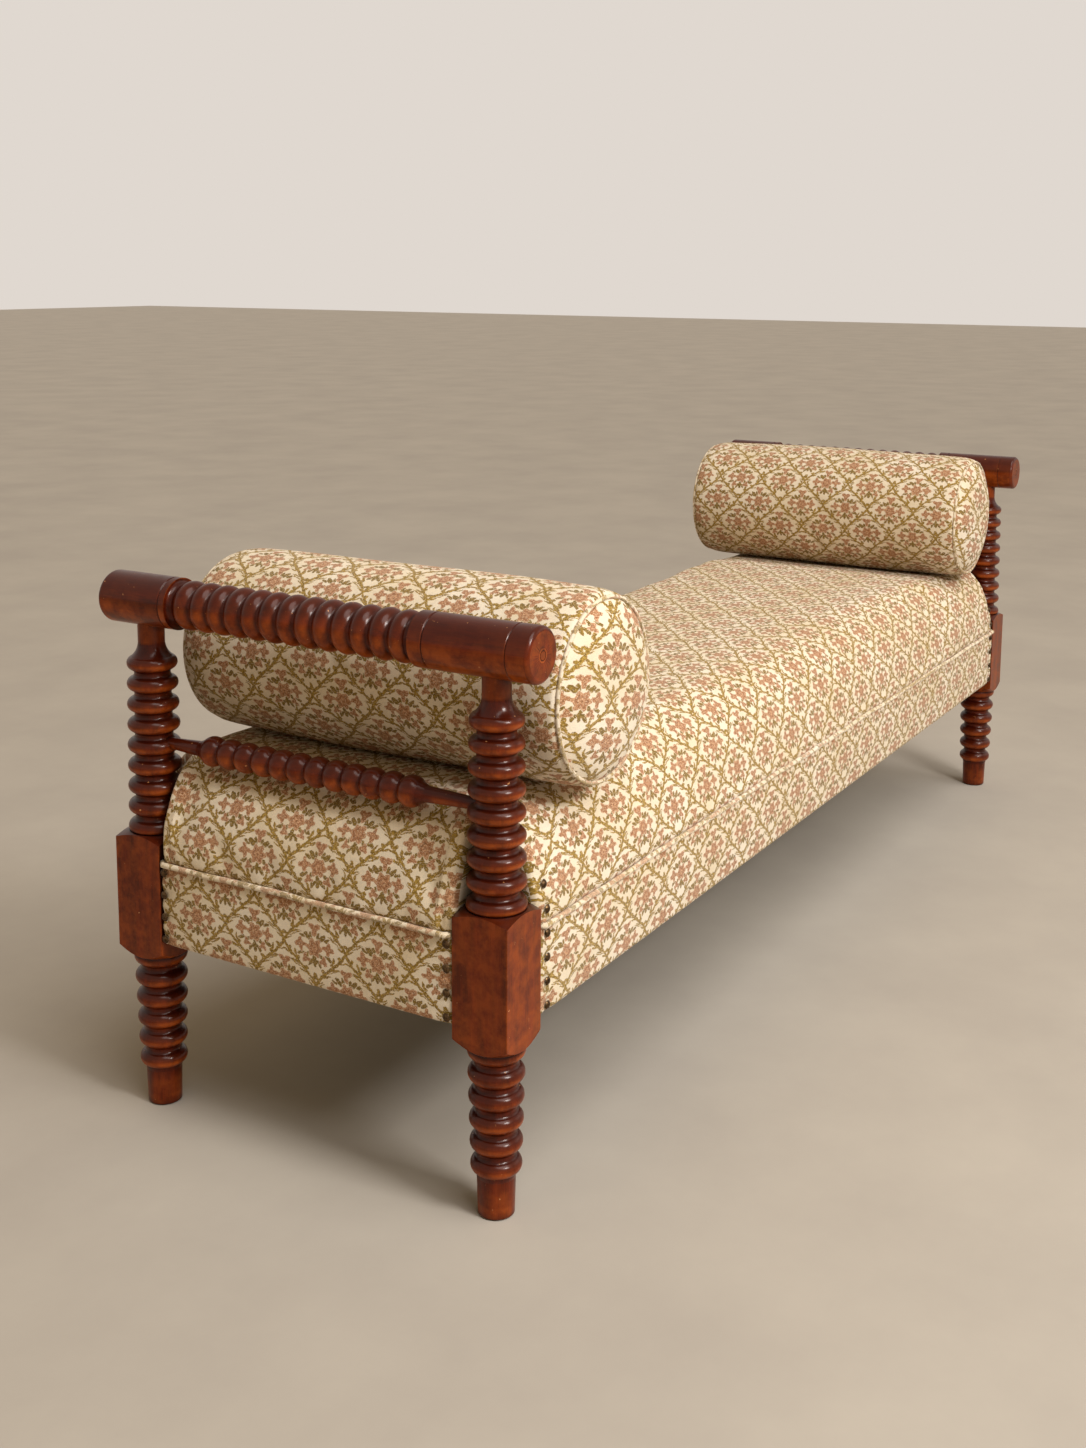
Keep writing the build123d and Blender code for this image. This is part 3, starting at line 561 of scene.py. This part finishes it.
# Bolsters: a round cover with a domed panel in each end, piping in both seams, and wadding inside.
bolsterLook = {
    "radius": 0.1225,
    "length": 0.606,
    "swell": 0.003,  # added in the middle of its length, before the cloth is blown up
    "endRound": 0.0085,  # how much thinner it is at the seams of its ends
    "roundStart": 0.88,  # where that starts, as a share of the half length
    "endDome": 0.021,
    "seam": 0.0135,  # how far the end seams lie inside its length
    "cover": 0.003,  # the thickness of the cloth and its lining
    "clear": 0.0008,  # left between it and the hollow that it presses into the seat
    "flatSoft": 0.0025,  # how softly its underside is flattened
    "flatUnder": 0.003,  # how far its flattened underside lies under the top of the seat
    "held": 0.004,  # its underside is held up to this height over the seat
    "sway": 0.0009,  # how far its section strays from a circle
    "piping": 0.0028,
    "pipingOut": 0.0016,  # how far the piping's middle stands out from the seam
    "pipingBeyond": 0.0012,  # and how far beyond it
    "pipingRest": 0.0022,  # height of its middle over the seat where it rests
    "turned": math.radians(284.9),  # where the middle of a spray lies round the bolster
    "shifted": 0.0085,
    "endTurn": math.radians(-12),  # the end panels are cut on a slant, and stretched sideways
    "endStretch": 1.35,
    "endSpray": (0.045, -0.020),
    "rings": 72,
    "around": 128,
    "discRings": 14,
    "pipingSteps": 96,
}
bolsters = {}
for end in ("near", "far"):
    low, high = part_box(f"bolster_{end}_cover")
    bolsters[end] = (low + high) / 2
seamReach = bolsterLook["length"] / 2 - bolsterLook["seam"]  # from a bolster's middle to its end seams


def bolsterRadius(share):
    # radius at a share (-1 to 1) of the half length: fullest in the middle, rolled over at the ends
    start = bolsterLook["roundStart"]
    roll = max(0.0, (abs(share) - start) / (1 - start))
    rolled = 1 - math.sqrt(max(0.0, 1 - roll**2))
    full = bolsterLook["swell"] * (1 - abs(share) ** 2.6)
    return bolsterLook["radius"] + full - bolsterLook["endRound"] * rolled


# Dome nails in a row beside each post: the cloth lies deeper under their heads.
nailLook = {
    "headDepth": 0.012,  # what is deeper than this in a long side belongs to the shanks
    "apart": 0.015,  # the heads stand further apart than this
    "reach": 0.040,  # and nearer to the block of their post than this
    "dimple": 0.0025,
    "flat": 0.006,  # from a head's middle, as far as the dimple is deepest
    "fade": 0.010,  # and as far again until it ends
}


def nailSpots():
    # the middle of each dome nail's head, from the solids
    heads = []
    for name, solid in nodes.items():
        if name.startswith("cover_nails"):
            for vertex in solid.data.vertices:
                co = solid.matrix_world @ vertex.co
                if abs(co.x) > bed["outerX"] or abs(co.y) > bed["outerY"] - nailLook["headDepth"]:
                    near = (found for found in heads if (found[0] - co).length < nailLook["apart"])
                    head = next(near, None)
                    if head:
                        head.append(co)
                    else:
                        heads.append([co])
    return [sum(head, Vector()) / len(head) for head in heads]


nails = nailSpots()


def nailDimple(point):
    # how far the nearest head holds the cloth down at a point
    nearest = min((point - spot).length for spot in nails)
    return nailLook["dimple"] * (1 - ease((nearest - nailLook["flat"]) / nailLook["fade"]))


# The seat's stuffed top and boxed border, with piping between them. The pairs named Spray say where a
# spray of the pattern stands: along the side or the end, and over the piping, measured on the cloth.
seatLook = {
    "crown": 0.009,  # rise of the stuffed top between the bolsters
    "crownEnd": 0.05,  # it ends this far before their middles
    "round": 0.014,  # rounding of the cover where it turns in beside a post
    "bulge": 0.002,  # swell of the sides above the piping, before the cloth is blown up
    "bulgeFlat": (0.012, 0.06),  # none this far from the posts, and full this much further on
    "valley": 0.0035,  # how far the cloth is drawn in beside the piping
    "valleyWidth": 0.009,
    "sideways": 0.03,  # over this height it is drawn straight in, and further up square to its face
    "puckerPitch": 0.0175,
    "puckerReach": 0.11,  # from the posts
    "topPucker": (0.0009, 0.045),  # height of the puckers, and how far they run from the piping
    "boxPucker": (0.0008, 0.040),
    "boxBulge": 0.003,  # swell of the boxed border
    "boxDepth": 0.0075,
    "boxEdge": 0.004,  # rounding of its lower edge
    "boxRound": 0.007,  # rounding of its ends beside the posts
    "boxFlat": (0.014, 0.05),  # flat this far from its ends, and full this much further on
    "boxStep": 0.0075,
    "step": 0.010,
    "hem": 0.003,  # the cover is held this far in from its edges
    "tuckedUnder": 0.002,  # how far it goes down behind the piping
    "pressSoft": 0.004,  # the cloth starts to give way about this far before a bolster touches it
    "pressSlope": 0.6,  # rise of the hollow beyond a bolster's ends
    "pressed": 0.115,  # the seat is held this far each side of a bolster's middle
    "piping": 0.0038,
    "pipingOut": 0.0019,  # how far the piping's middle stands out from the face
    "pipingShort": 0.001,  # its ends stop this far from the blocks
    "pipingTurn": 0.008,  # it turns in over this length at its ends
    "sideStretch": 0.906,  # the cloth on the long sides is cut from a piece with a wider and lower repeat
    "sideHeight": 1.085,
    "sideSpray": (-0.690, 0.0445),
    "endSpray": (-0.032, 0.0445),
    "boxSideSpray": (-0.690, -0.057),
    "boxEndSpray": (0.020, -0.014),
}


def postGap(x, y):
    # distance in plan from the corner that is left free for a post
    return math.hypot(max(0.0, bed["innerX"] - abs(x)), max(0.0, bed["innerY"] - abs(y)))


def drawnIn(rise):
    # how far the seam of the piping draws the cloth in, at a height over it or under it
    return seatLook["valley"] * max(0.0, 1 - abs(rise) / seatLook["valleyWidth"]) ** 2


def pucker(along, rise, gap, height, run):
    # gathers in the cloth beside the piping, dying out with the distance from it and from the post
    wave = math.sin(2 * math.pi * along / seatLook["puckerPitch"] + 3 * math.sin(40 * along))
    return height * wave * (1 - ease(abs(rise) / run)) * (1 - ease(gap / seatLook["puckerReach"]))


def pressedDown(spot, x, y, z):
    # how far the bolster at spot presses a point of the stuffed top down
    dx, dy = abs(x - spot.x), abs(y - spot.y)
    half = bolsterLook["length"] / 2
    soft = seatLook["pressSoft"]
    beyond = max(0.0, dy - half + soft)
    # further away than this, nothing reaches the cloth
    if dx >= 0.12 or beyond >= 0.05:
        return 0.0
    radius = bolsterRadius(min(1.0, dy / half))
    under = spot.z - math.sqrt(max(0.0, radius**2 - dx**2)) - bolsterLook["clear"]
    return giveWay(z - (under + seatLook["pressSlope"] * beyond), soft, -3)


def topPoint(x, y):
    # a point of the stuffed top over the plan point (x, y), before the cloth is blown up
    reach = bed["shoulder"]
    ax = max(0.0, (abs(x) - (bed["outerX"] - reach)) / reach)
    ay = max(0.0, (abs(y) - (bed["outerY"] - reach)) / reach)
    a = min(1.0, (ax**6 + ay**6) ** (1 / 6))
    share = math.sqrt(max(0.0, 1 - a * a))
    height = bed["seatTop"] - bed["pipingZ"]
    across = min(1.0, abs(y) / bed["outerY"])
    along = min(1.0, abs(x) / (abs(bolsters["far"].x) - seatLook["crownEnd"]))
    crown = seatLook["crown"] * (1 - across**2.5) * (1 - along**4)
    z = bed["pipingZ"] + height * share + crown * share**2
    for spot in bolsters.values():
        z -= pressedDown(spot, x, y, z)
    # the cover turns in beside the posts
    point = Vector((x, y, z))
    gap = postGap(x, y)
    onEnd = ax >= ay
    lean = (math.copysign(ax, x) / reach, 0) if onEnd else (0, math.copysign(ay, y) / reach)
    lean = Vector((*lean, share / height)).normalized()
    point -= lean * 0.9 * tuckIn(gap, seatLook["round"])
    bulge = 0.0
    if a > 0.5:
        flat, full = seatLook["bulgeFlat"]
        bulge = seatLook["bulge"] * math.sin(math.pi * a) ** 2 * ease((gap - flat) / full)
    point[0 if onEnd else 1] += math.copysign(bulge, x if onEnd else y)
    return point


def ellipseArc(share, wide, tall, steps=64):
    # arc length round the shoulder from the piping up to where a share of its width is still outside
    end = math.acos(min(1.0, max(0.0, share)))
    spots = [(wide * math.cos(end * i / steps), tall * math.sin(end * i / steps)) for i in range(steps + 1)]
    return sum(math.dist(a, b) for a, b in zip(spots, spots[1:]))


def gridLines(outer, inner, reach, step):
    # places of the grid lines: even on the flat part, close beside the posts, even by angle on the shoulder
    flat = outer - reach
    count = round(flat / step)
    lines = [flat * i / count for i in range(count + 1)]
    lines += [inner - d for d in (0.020, 0.014, 0.010, 0.0065, 0.0035, 0.0015)]
    start = math.asin((inner - flat) / reach)
    shares = [i / 20 for i in range(20)] + [0.975, 1.0]
    lines += [flat + reach * math.sin(start + (math.pi / 2 - start) * share) for share in shares]
    return [-v for v in reversed(lines[1:])] + lines


def clothArcs(lines, outer, reach, tall):
    # distance over the cloth from the piping on the low side to each grid line
    quarter = ellipseArc(0.0, reach, tall)
    arcs = []
    for v in lines:
        share = max(0.0, (abs(v) - (outer - reach)) / reach)
        fromPiping = ellipseArc(share, reach, tall) if share > 0 else quarter + (outer - reach) - abs(v)
        arcs.append(fromPiping if v < 0 else 2 * (quarter + outer - reach) - fromPiping)
    return arcs


def drawIn(piece):
    # draws the finished cloth in beside the piping and under the nails, and puckers it near the posts
    vertices = piece.data.vertices
    # read before anything moves: each move makes Blender work all of them out again
    places = [(v.co.copy(), v.normal.copy()) for v in vertices]
    for vertex, (co, normal) in zip(vertices, places):
        rise = co.z - bed["pipingZ"]
        onEnd = abs(co.x) - bed["outerX"] > abs(co.y) - bed["outerY"]
        along, gap = (co.y, bed["innerY"] - abs(co.y)) if onEnd else (co.x, bed["innerX"] - abs(co.x))
        inward = drawnIn(rise) + pucker(along, rise, gap, *seatLook["topPucker"])
        inward += nailDimple(co) if gap < nailLook["reach"] else 0.0
        out = (math.copysign(1, co.x), 0, 0) if onEnd else (0, math.copysign(1, co.y), 0)
        share = 1 - ease(rise / seatLook["sideways"])
        vertex.co = co - (Vector(out) * share + normal * (1 - share)).normalized() * inward


def closeUnder(piece):
    # walls down beside the posts, and a bottom level with the piping
    bm = bmesh.new()
    bm.from_mesh(piece.data)
    bmesh.ops.delete(bm, geom=[v for v in bm.verts if not v.link_faces], context="VERTS")
    layer = bm.loops.layers.uv["Cloth"]
    walls = bmesh.ops.extrude_edge_only(bm, edges=[e for e in bm.edges if e.is_boundary])["geom"]
    for vertex in walls:
        if isinstance(vertex, bmesh.types.BMVert):
            vertex.co.z = bed["pipingZ"] - seatLook["tuckedUnder"]
    for face in walls:
        if isinstance(face, bmesh.types.BMFace):
            for loop in face.loops:
                co = loop.vert.co
                along = co.x if abs(face.normal.y) > abs(face.normal.x) else co.y
                loop[layer].uv = (along, co.z - bed["pipingZ"])
    bmesh.ops.contextual_create(bm, geom=[e for e in bm.edges if e.is_boundary])
    bmesh.ops.recalc_face_normals(bm, faces=bm.faces)
    for face in bm.faces:
        face.smooth = True
    bm.to_mesh(piece.data)
    bm.free()


def buildSeat():
    reach, tall = bed["shoulder"], bed["seatTop"] - bed["pipingZ"]
    xs = gridLines(bed["outerX"], bed["innerX"], reach, seatLook["step"])
    ys = gridLines(bed["outerY"], bed["innerY"], reach, seatLook["step"])
    arcX = clothArcs(xs, bed["outerX"], reach, tall)
    arcY = clothArcs(ys, bed["outerY"], reach, tall)
    points = [topPoint(x, y) for x in xs for y in ys]
    rows = len(ys)
    sideSpray, endSpray = seatLook["sideSpray"], seatLook["endSpray"]
    faces, uvs = [], []
    for i in range(len(xs) - 1):
        for j in range(rows - 1):
            mx, my = (xs[i] + xs[i + 1]) / 2, (ys[j] + ys[j + 1]) / 2
            if abs(mx) > bed["innerX"] and abs(my) > bed["innerY"]:
                continue
            faces.append((i * rows + j, (i + 1) * rows + j, (i + 1) * rows + j + 1, i * rows + j + 1))
            ax, ay = abs(mx) - (bed["outerX"] - reach), abs(my) - (bed["outerY"] - reach)
            face = []
            for a, b in ((i, j), (i + 1, j), (i + 1, j + 1), (i, j + 1)):
                if ax > 0 and ax > ay:
                    up = arcX[a] if mx < 0 else 2 * arcX[len(xs) // 2] - arcX[a]
                    u = math.copysign(1, mx) * (ys[b] - endSpray[0]) + sprayU
                    face.append((u, up - endSpray[1]))
                else:
                    u = (xs[a] - sideSpray[0]) * seatLook["sideStretch"] + sprayU
                    face.append((u, (arcY[b] - sideSpray[1]) * seatLook["sideHeight"]))
            uvs.append(face)
    piece = meshPiece("seatTop", points, faces, uvs, tapestry, "tapestry", "frame_and_seat")
    # held at its edges and where the bolsters press on it
    hem = seatLook["hem"]
    pinned = []
    for vertex in piece.data.vertices:
        co = vertex.co
        edge = co.z < bed["pipingZ"] + hem or postGap(co.x, co.y) < hem
        if edge or min(abs(co.x - spot.x) for spot in bolsters.values()) < seatLook["pressed"]:
            pinned.append(vertex.index)
    swell(piece, pinned)
    smooth(piece)
    drawIn(piece)
    closeUnder(piece)
    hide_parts("seat_cover")


buildSeat()
print("stage: seat top built")


def boxSection(tall):
    # the border's section, as (out, up): from inside the lower edge round it, up the face and in again
    # behind the piping
    depth, edge = seatLook["boxDepth"], seatLook["boxEdge"]
    section = [(-depth, 0.0), (-edge, -0.0002)]
    section += [(edge * math.sin(t) - edge, edge - edge * math.cos(t)) for t in (0.5, 1.0, math.pi / 2)]
    section += [(0.0, edge + (tall - edge) * i / 24) for i in range(1, 23)]
    return section + [(0.0, tall - 0.0022), (0.0, tall - 0.0003), (-depth, tall - 0.0003)]


def buildBorder(side, axis, sign):
    # a padded strip between two posts, along axis 0 or 1
    solid = f"seat_border_{side.lower()}"
    low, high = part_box(solid)
    other = 1 - axis
    face = sign * (bed["outerY"] if other == 1 else bed["outerX"])
    start, length, tall = low[axis], high[axis] - low[axis], high.z - low.z
    columns = round(length / seatLook["boxStep"])
    places = [length * i / columns for i in range(columns + 1)]
    places = sorted(places + [0.0015, 0.004, length - 0.004, length - 0.0015])
    section = boxSection(tall)
    flat, full = seatLook["boxFlat"]
    arc = [0.0]
    for a, b in zip(section, section[1:]):
        arc.append(arc[-1] + math.dist(a, b))
    points, faces, uvs = [], [], []
    for place in places:
        edge = min(place, length - place)
        along = start + place
        tuck = tuckIn(edge, seatLook["boxRound"])
        for out, z in section:
            swelling = seatLook["boxBulge"] * math.sin(math.pi * min(1.0, max(0.0, z / tall))) ** 0.8
            swelling *= ease((edge - flat) / full)
            gathers = pucker(along, tall - z, edge, *seatLook["boxPucker"])
            point = [0.0, 0.0, low.z + z]
            point[axis] = along
            point[other] = face
            held = nailDimple(Vector(point))
            # what lies inside, behind the face, keeps its place
            facing = ease((out + seatLook["boxDepth"]) / seatLook["boxDepth"])
            shaped = swelling - drawnIn(tall - z) - gathers - tuck - held
            point[other] = face + sign * (out + shaped * facing)
            points.append(point)
    rows = len(section)
    turned = -1 if (sign > 0) == (axis == 0) else 1
    spray, lift = seatLook["boxSideSpray" if axis == 0 else "boxEndSpray"]
    wider, higher = (seatLook["sideStretch"], seatLook["sideHeight"]) if axis == 0 else (1, 1)
    heights = [(v - arc[-1] - lift) * higher for v in arc]
    for i in range(len(places) - 1):
        a, b = [turned * (start + places[j] - spray) * wider + sprayU for j in (i, i + 1)]
        for k in range(rows - 1):
            faces.append((i * rows + k, (i + 1) * rows + k, (i + 1) * rows + k + 1, i * rows + k + 1))
            uvs.append(((a, heights[k]), (b, heights[k]), (b, heights[k + 1]), (a, heights[k + 1])))
        # the back of the strip
        faces.append((i * rows, i * rows + rows - 1, (i + 1) * rows + rows - 1, (i + 1) * rows))
        uvs.append([(a, 0), (a, tall), (b, tall), (b, 0)])
    for i in (0, len(places) - 1):
        faces.append([i * rows + k for k in range(rows)])
        uvs.append(section)
    piece = meshPiece(f"border{side}", points, faces, uvs, tapestry, "tapestry", "frame_and_seat")
    faceOutwards(piece)
    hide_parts(solid)


def seatPiping(side, axis, sign):
    # a covered cord on the seam, turned in at both ends beside the posts
    half = (bed["innerX"] if axis == 0 else bed["innerY"]) - seatLook["pipingShort"]
    face = sign * ((bed["outerY"] if axis == 0 else bed["outerX"]) + seatLook["pipingOut"])
    turn = seatLook["pipingTurn"]
    count = round(half / turn)
    name = f"piping{side}"
    rng = random.Random(name)
    phases = [rng.uniform(0, 6.28) for _ in range(3)]
    path = []
    for i in range(-count, count + 1):
        u = half * i / count
        stray = 0.0005 * math.sin(31 * u + phases[0]) + 0.0003 * math.sin(73 * u + phases[1])
        point = [0.0, 0.0, bed["pipingZ"] + stray + 0.0004 * math.sin(17 * u + phases[2])]
        point[axis] = u
        point[1 - axis] = face - sign * tuckIn(half - abs(u), turn)
        path.append(Vector(point))
    pipe = tube(name, path, seatLook["piping"], "frame_and_seat")
    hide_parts("seat_piping")


for build in (buildBorder, seatPiping):
    build("Front", 0, -1)
    build("Back", 0, 1)
    build("Near", 1, -1)
    build("Far", 1, 1)
print("stage: borders and piping built")


def bolsterPoint(spot, angle, share, radius):
    # a point of the cover at an angle from straight down; what would pass into the seat is pressed up
    x = spot.x + radius * math.sin(angle)
    z = spot.z - radius * math.cos(angle)
    z += giveWay(bed["seatTop"] - bolsterLook["flatUnder"] - z, bolsterLook["flatSoft"], -4)
    return Vector((x, spot.y + share * seamReach, z))


def endUv(spot, point, sign):
    dx = sign * (spot.x - point.x) - bolsterLook["endSpray"][0]
    dz = point.z - spot.z - bolsterLook["endSpray"][1]
    cos, sin = math.cos(bolsterLook["endTurn"]), math.sin(bolsterLook["endTurn"])
    return (dx * cos + dz * sin) / bolsterLook["endStretch"] + sprayU, dz * cos - dx * sin


def bolsterMesh(end):
    # points, faces and UVs of the round cover and its two end panels
    spot = bolsters[end]
    rings, around, discRings = bolsterLook["rings"], bolsterLook["around"], bolsterLook["discRings"]
    rng = random.Random(end)
    phases = [rng.uniform(0, 6.28) for _ in range(2)]
    # a whole number of cells goes round
    cells = round(2 * math.pi * bolsterLook["radius"] / tapestryLook["cellHeight"])
    perTurn = cells * tapestryLook["cellHeight"] / (2 * math.pi)
    shares = [(2 * i / rings - 1) * 0.6 - math.cos(math.pi * i / rings) * 0.4 for i in range(rings + 1)]
    angles = [2 * math.pi * k / around for k in range(around)]
    points, faces, uvs = [], [], []
    for share in shares:
        for angle in angles:
            sway = bolsterLook["sway"] * math.sin(3 * angle + phases[0] + 4 * share) * (1 - share**4)
            points.append(bolsterPoint(spot, angle, share, bolsterRadius(share) + sway))
    for i in range(rings):
        u = [-(spot.y + shares[j] * seamReach) - bolsterLook["shifted"] + sprayU for j in (i, i + 1)]
        for k in range(around):
            m = (k + 1) % around
            faces.append((i * around + k, (i + 1) * around + k, (i + 1) * around + m, i * around + m))
            v = [perTurn * (bolsterLook["turned"] - 2 * math.pi * j / around) for j in (k, k + 1)]
            uvs.append(((u[0], v[0]), (u[1], v[0]), (u[1], v[1]), (u[0], v[1])))
    # the end panels, as rings from the seam to the middle
    for sign in (-1, 1):
        outer = [(0 if sign < 0 else rings * around) + k for k in range(around)]
        for ring in range(1, discRings + 1):
            share = 1 - ring / discRings
            inner = []
            for angle in angles if share > 0 else angles[:1]:
                point = bolsterPoint(spot, angle, sign, bolsterRadius(1.0) * share)
                point.y += sign * bolsterLook["endDome"] * (1 - share**3.5)
                inner.append(len(points))
                points.append(point)
            for k in range(around):
                m = (k + 1) % around
                ids = (outer[k], outer[m], *((inner[m], inner[k]) if share > 0 else inner))
                ids = ids if sign < 0 else ids[::-1]
                faces.append(ids)
                uvs.append([endUv(spot, points[v], sign) for v in ids])
            outer = inner
    return points, faces, uvs


def buildCover(end):
    body = f"bolster_{end}"
    piece = meshPiece(f"bolster{end.capitalize()}Cover", *bolsterMesh(end), tapestry, "tapestry", body)
    faceOutwards(piece)
    # held at the seams of its ends and where it rests
    rings, around = bolsterLook["rings"], bolsterLook["around"]
    seams = (*range(around), *range(rings * around, (rings + 1) * around))
    rest = bed["seatTop"] + bolsterLook["held"]
    resting = [v.index for v in piece.data.vertices if v.co.z < rest]
    swell(piece, sorted({*seams, *resting}))
    smooth(piece)
    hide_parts(f"bolster_{end}_cover", f"bolster_{end}_end_front", f"bolster_{end}_end_back")
    return piece


def buildCore(end, cover):
    # the wadding follows the cover from inside
    mesh = cover.data.copy()
    mesh.materials[0] = wadding
    normals = [v.normal.copy() for v in mesh.vertices]
    for vertex, normal in zip(mesh.vertices, normals):
        vertex.co -= normal * bolsterLook["cover"]
    core = newPiece(f"bolster{end.capitalize()}Core", mesh, f"bolster_{end}")
    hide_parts(f"bolster_{end}_core")


def bolsterPiping(end, side, sign):
    path = []
    steps = bolsterLook["pipingSteps"]
    for k in range(steps):
        radius = bolsterRadius(1.0) + bolsterLook["pipingOut"]
        point = bolsterPoint(bolsters[end], 2 * math.pi * k / steps, sign, radius)
        point.y += sign * bolsterLook["pipingBeyond"]
        point.z = max(point.z, bed["seatTop"] + bolsterLook["pipingRest"])
        path.append(point)
    name = f"bolster{end.capitalize()}Piping{side.capitalize()}"
    ring = tube(name, path, bolsterLook["piping"], f"bolster_{end}", closed=True)
    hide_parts(f"bolster_{end}_piping_{side}")


for end in bolsters:
    buildCore(end, buildCover(end))
    bolsterPiping(end, "front", -1)
    bolsterPiping(end, "back", 1)
print("stage: bolsters built")


# Power-floated concrete, pale and matt, with faint cloudy stains.
floorLook = {"half": 30, "below": 0.0005, "dark": "#a0988e", "pale": "#a9a196"}
half = floorLook["half"]
floorMesh = bpy.data.meshes.new("floor")
corners = [(-half, -half, 0), (half, -half, 0), (half, half, 0), (-half, half, 0)]
floorMesh.from_pydata(corners, [], [(0, 1, 2, 3)])
floor = newObject("floor", floorMesh)
floor.location.z = -floorLook["below"]  # clear of the undersides of the feet
material, node, link = newMaterial("paleConcrete", Roughness=0.8)
stains = node("TexNoise", node("TexCoord", out="Object"), None, 2.2, 6.0, 0.6)
stained = node("ValToRGB", stains, stops=[(0.35, floorLook["dark"]), (0.65, floorLook["pale"])])
link(stained, "Base Color")
floorMesh.materials.append(material)

# The room: a warm surround gives light. The camera, mirrors and glass see the plain backdrop.
roomLook = {"surround": ("#f0d3a6", 0.47), "backdrop": ("#e0d8d0", 1.0)}
world = bpy.data.worlds.new("studio")
bpy.context.scene.world = world
world.use_nodes = True
tree = world.node_tree
node = partial(add, tree)
surround = node("Background", *roomLook["surround"])
backdrop = node("Background", *roomLook["backdrop"])
seen = node("LightPath", out="Is Camera Ray")
for ray in ("Is Transmission Ray", "Is Glossy Ray"):
    seen = node("Math MAXIMUM", seen, node("LightPath", out=ray))
tree.links.new(node("MixShader", seen, surround, backdrop), tree.nodes["World Output"].inputs[0])

lights = {
    "window": {
        "place": (-1.3, -3.3, 2.7),
        "aim": (-0.2, 0.0, 0.4),
        "size": (1.0, 0.8),
        "power": 125,
        "colour": "#fffdfa",
    },
    "fill": {
        "place": (3.5, -3.4, 2.6),
        "aim": (0.3, 0.0, 0.4),
        "size": (3.0, 2.2),
        "power": 18,
        "colour": "#fffaf2",
    },
}
for name, value in lights.items():
    data = bpy.data.lights.new(name, "AREA")
    data.shape = "RECTANGLE"
    data.size, data.size_y = value["size"]
    data.energy = value["power"]
    data.color = linear(value["colour"])[:3]
    lamp = newObject(name, data)
    lamp.location = value["place"]
    towards = Vector(value["aim"]) - Vector(value["place"])
    lamp.rotation_euler = towards.to_track_quat("-Z", "Y").to_euler()

# a wide soft sun keeps the floor even out to the horizon
skyLook = {"towards": (0.12, 0.52, -1.0), "power": 1.8, "angle": math.radians(40)}
data = bpy.data.lights.new("sky", "SUN")
data.energy = skyLook["power"]
data.angle = skyLook["angle"]
sky = newObject("sky", data)
sky.rotation_euler = Vector(skyLook["towards"]).to_track_quat("-Z", "Y").to_euler()

cameraLook = {
    "place": (-2.5894, -1.2740, 1.1411),
    "yaw": 0.5348,
    "pitch": 0.1532,
    "roll": 0.0053,
    "lens": 41.48,
    "shiftY": -0.1400,
}
cameraData = bpy.data.cameras.new("camera")
camera = newObject("camera", cameraData)
yaw, pitch, roll = cameraLook["yaw"], cameraLook["pitch"], cameraLook["roll"]
forward = Vector((math.cos(pitch) * math.cos(yaw), math.cos(pitch) * math.sin(yaw), -math.sin(pitch)))
level = Vector((math.sin(yaw), -math.cos(yaw), 0))
upright = level.cross(forward)
right = level * math.cos(roll) + upright * math.sin(roll)
up = upright * math.cos(roll) - level * math.sin(roll)
rotation = Matrix((right, up, -forward)).transposed().to_4x4()
camera.matrix_world = Matrix.Translation(cameraLook["place"]) @ rotation
cameraData.sensor_fit = "VERTICAL"
cameraData.sensor_height = 36.0
cameraData.lens = cameraLook["lens"]
cameraData.shift_y = cameraLook["shiftY"]
cameraData.clip_end = 60
bpy.context.scene.camera = camera
bpy.context.scene.view_settings.view_transform = "Standard"
print("stage: floor, lights and camera set")
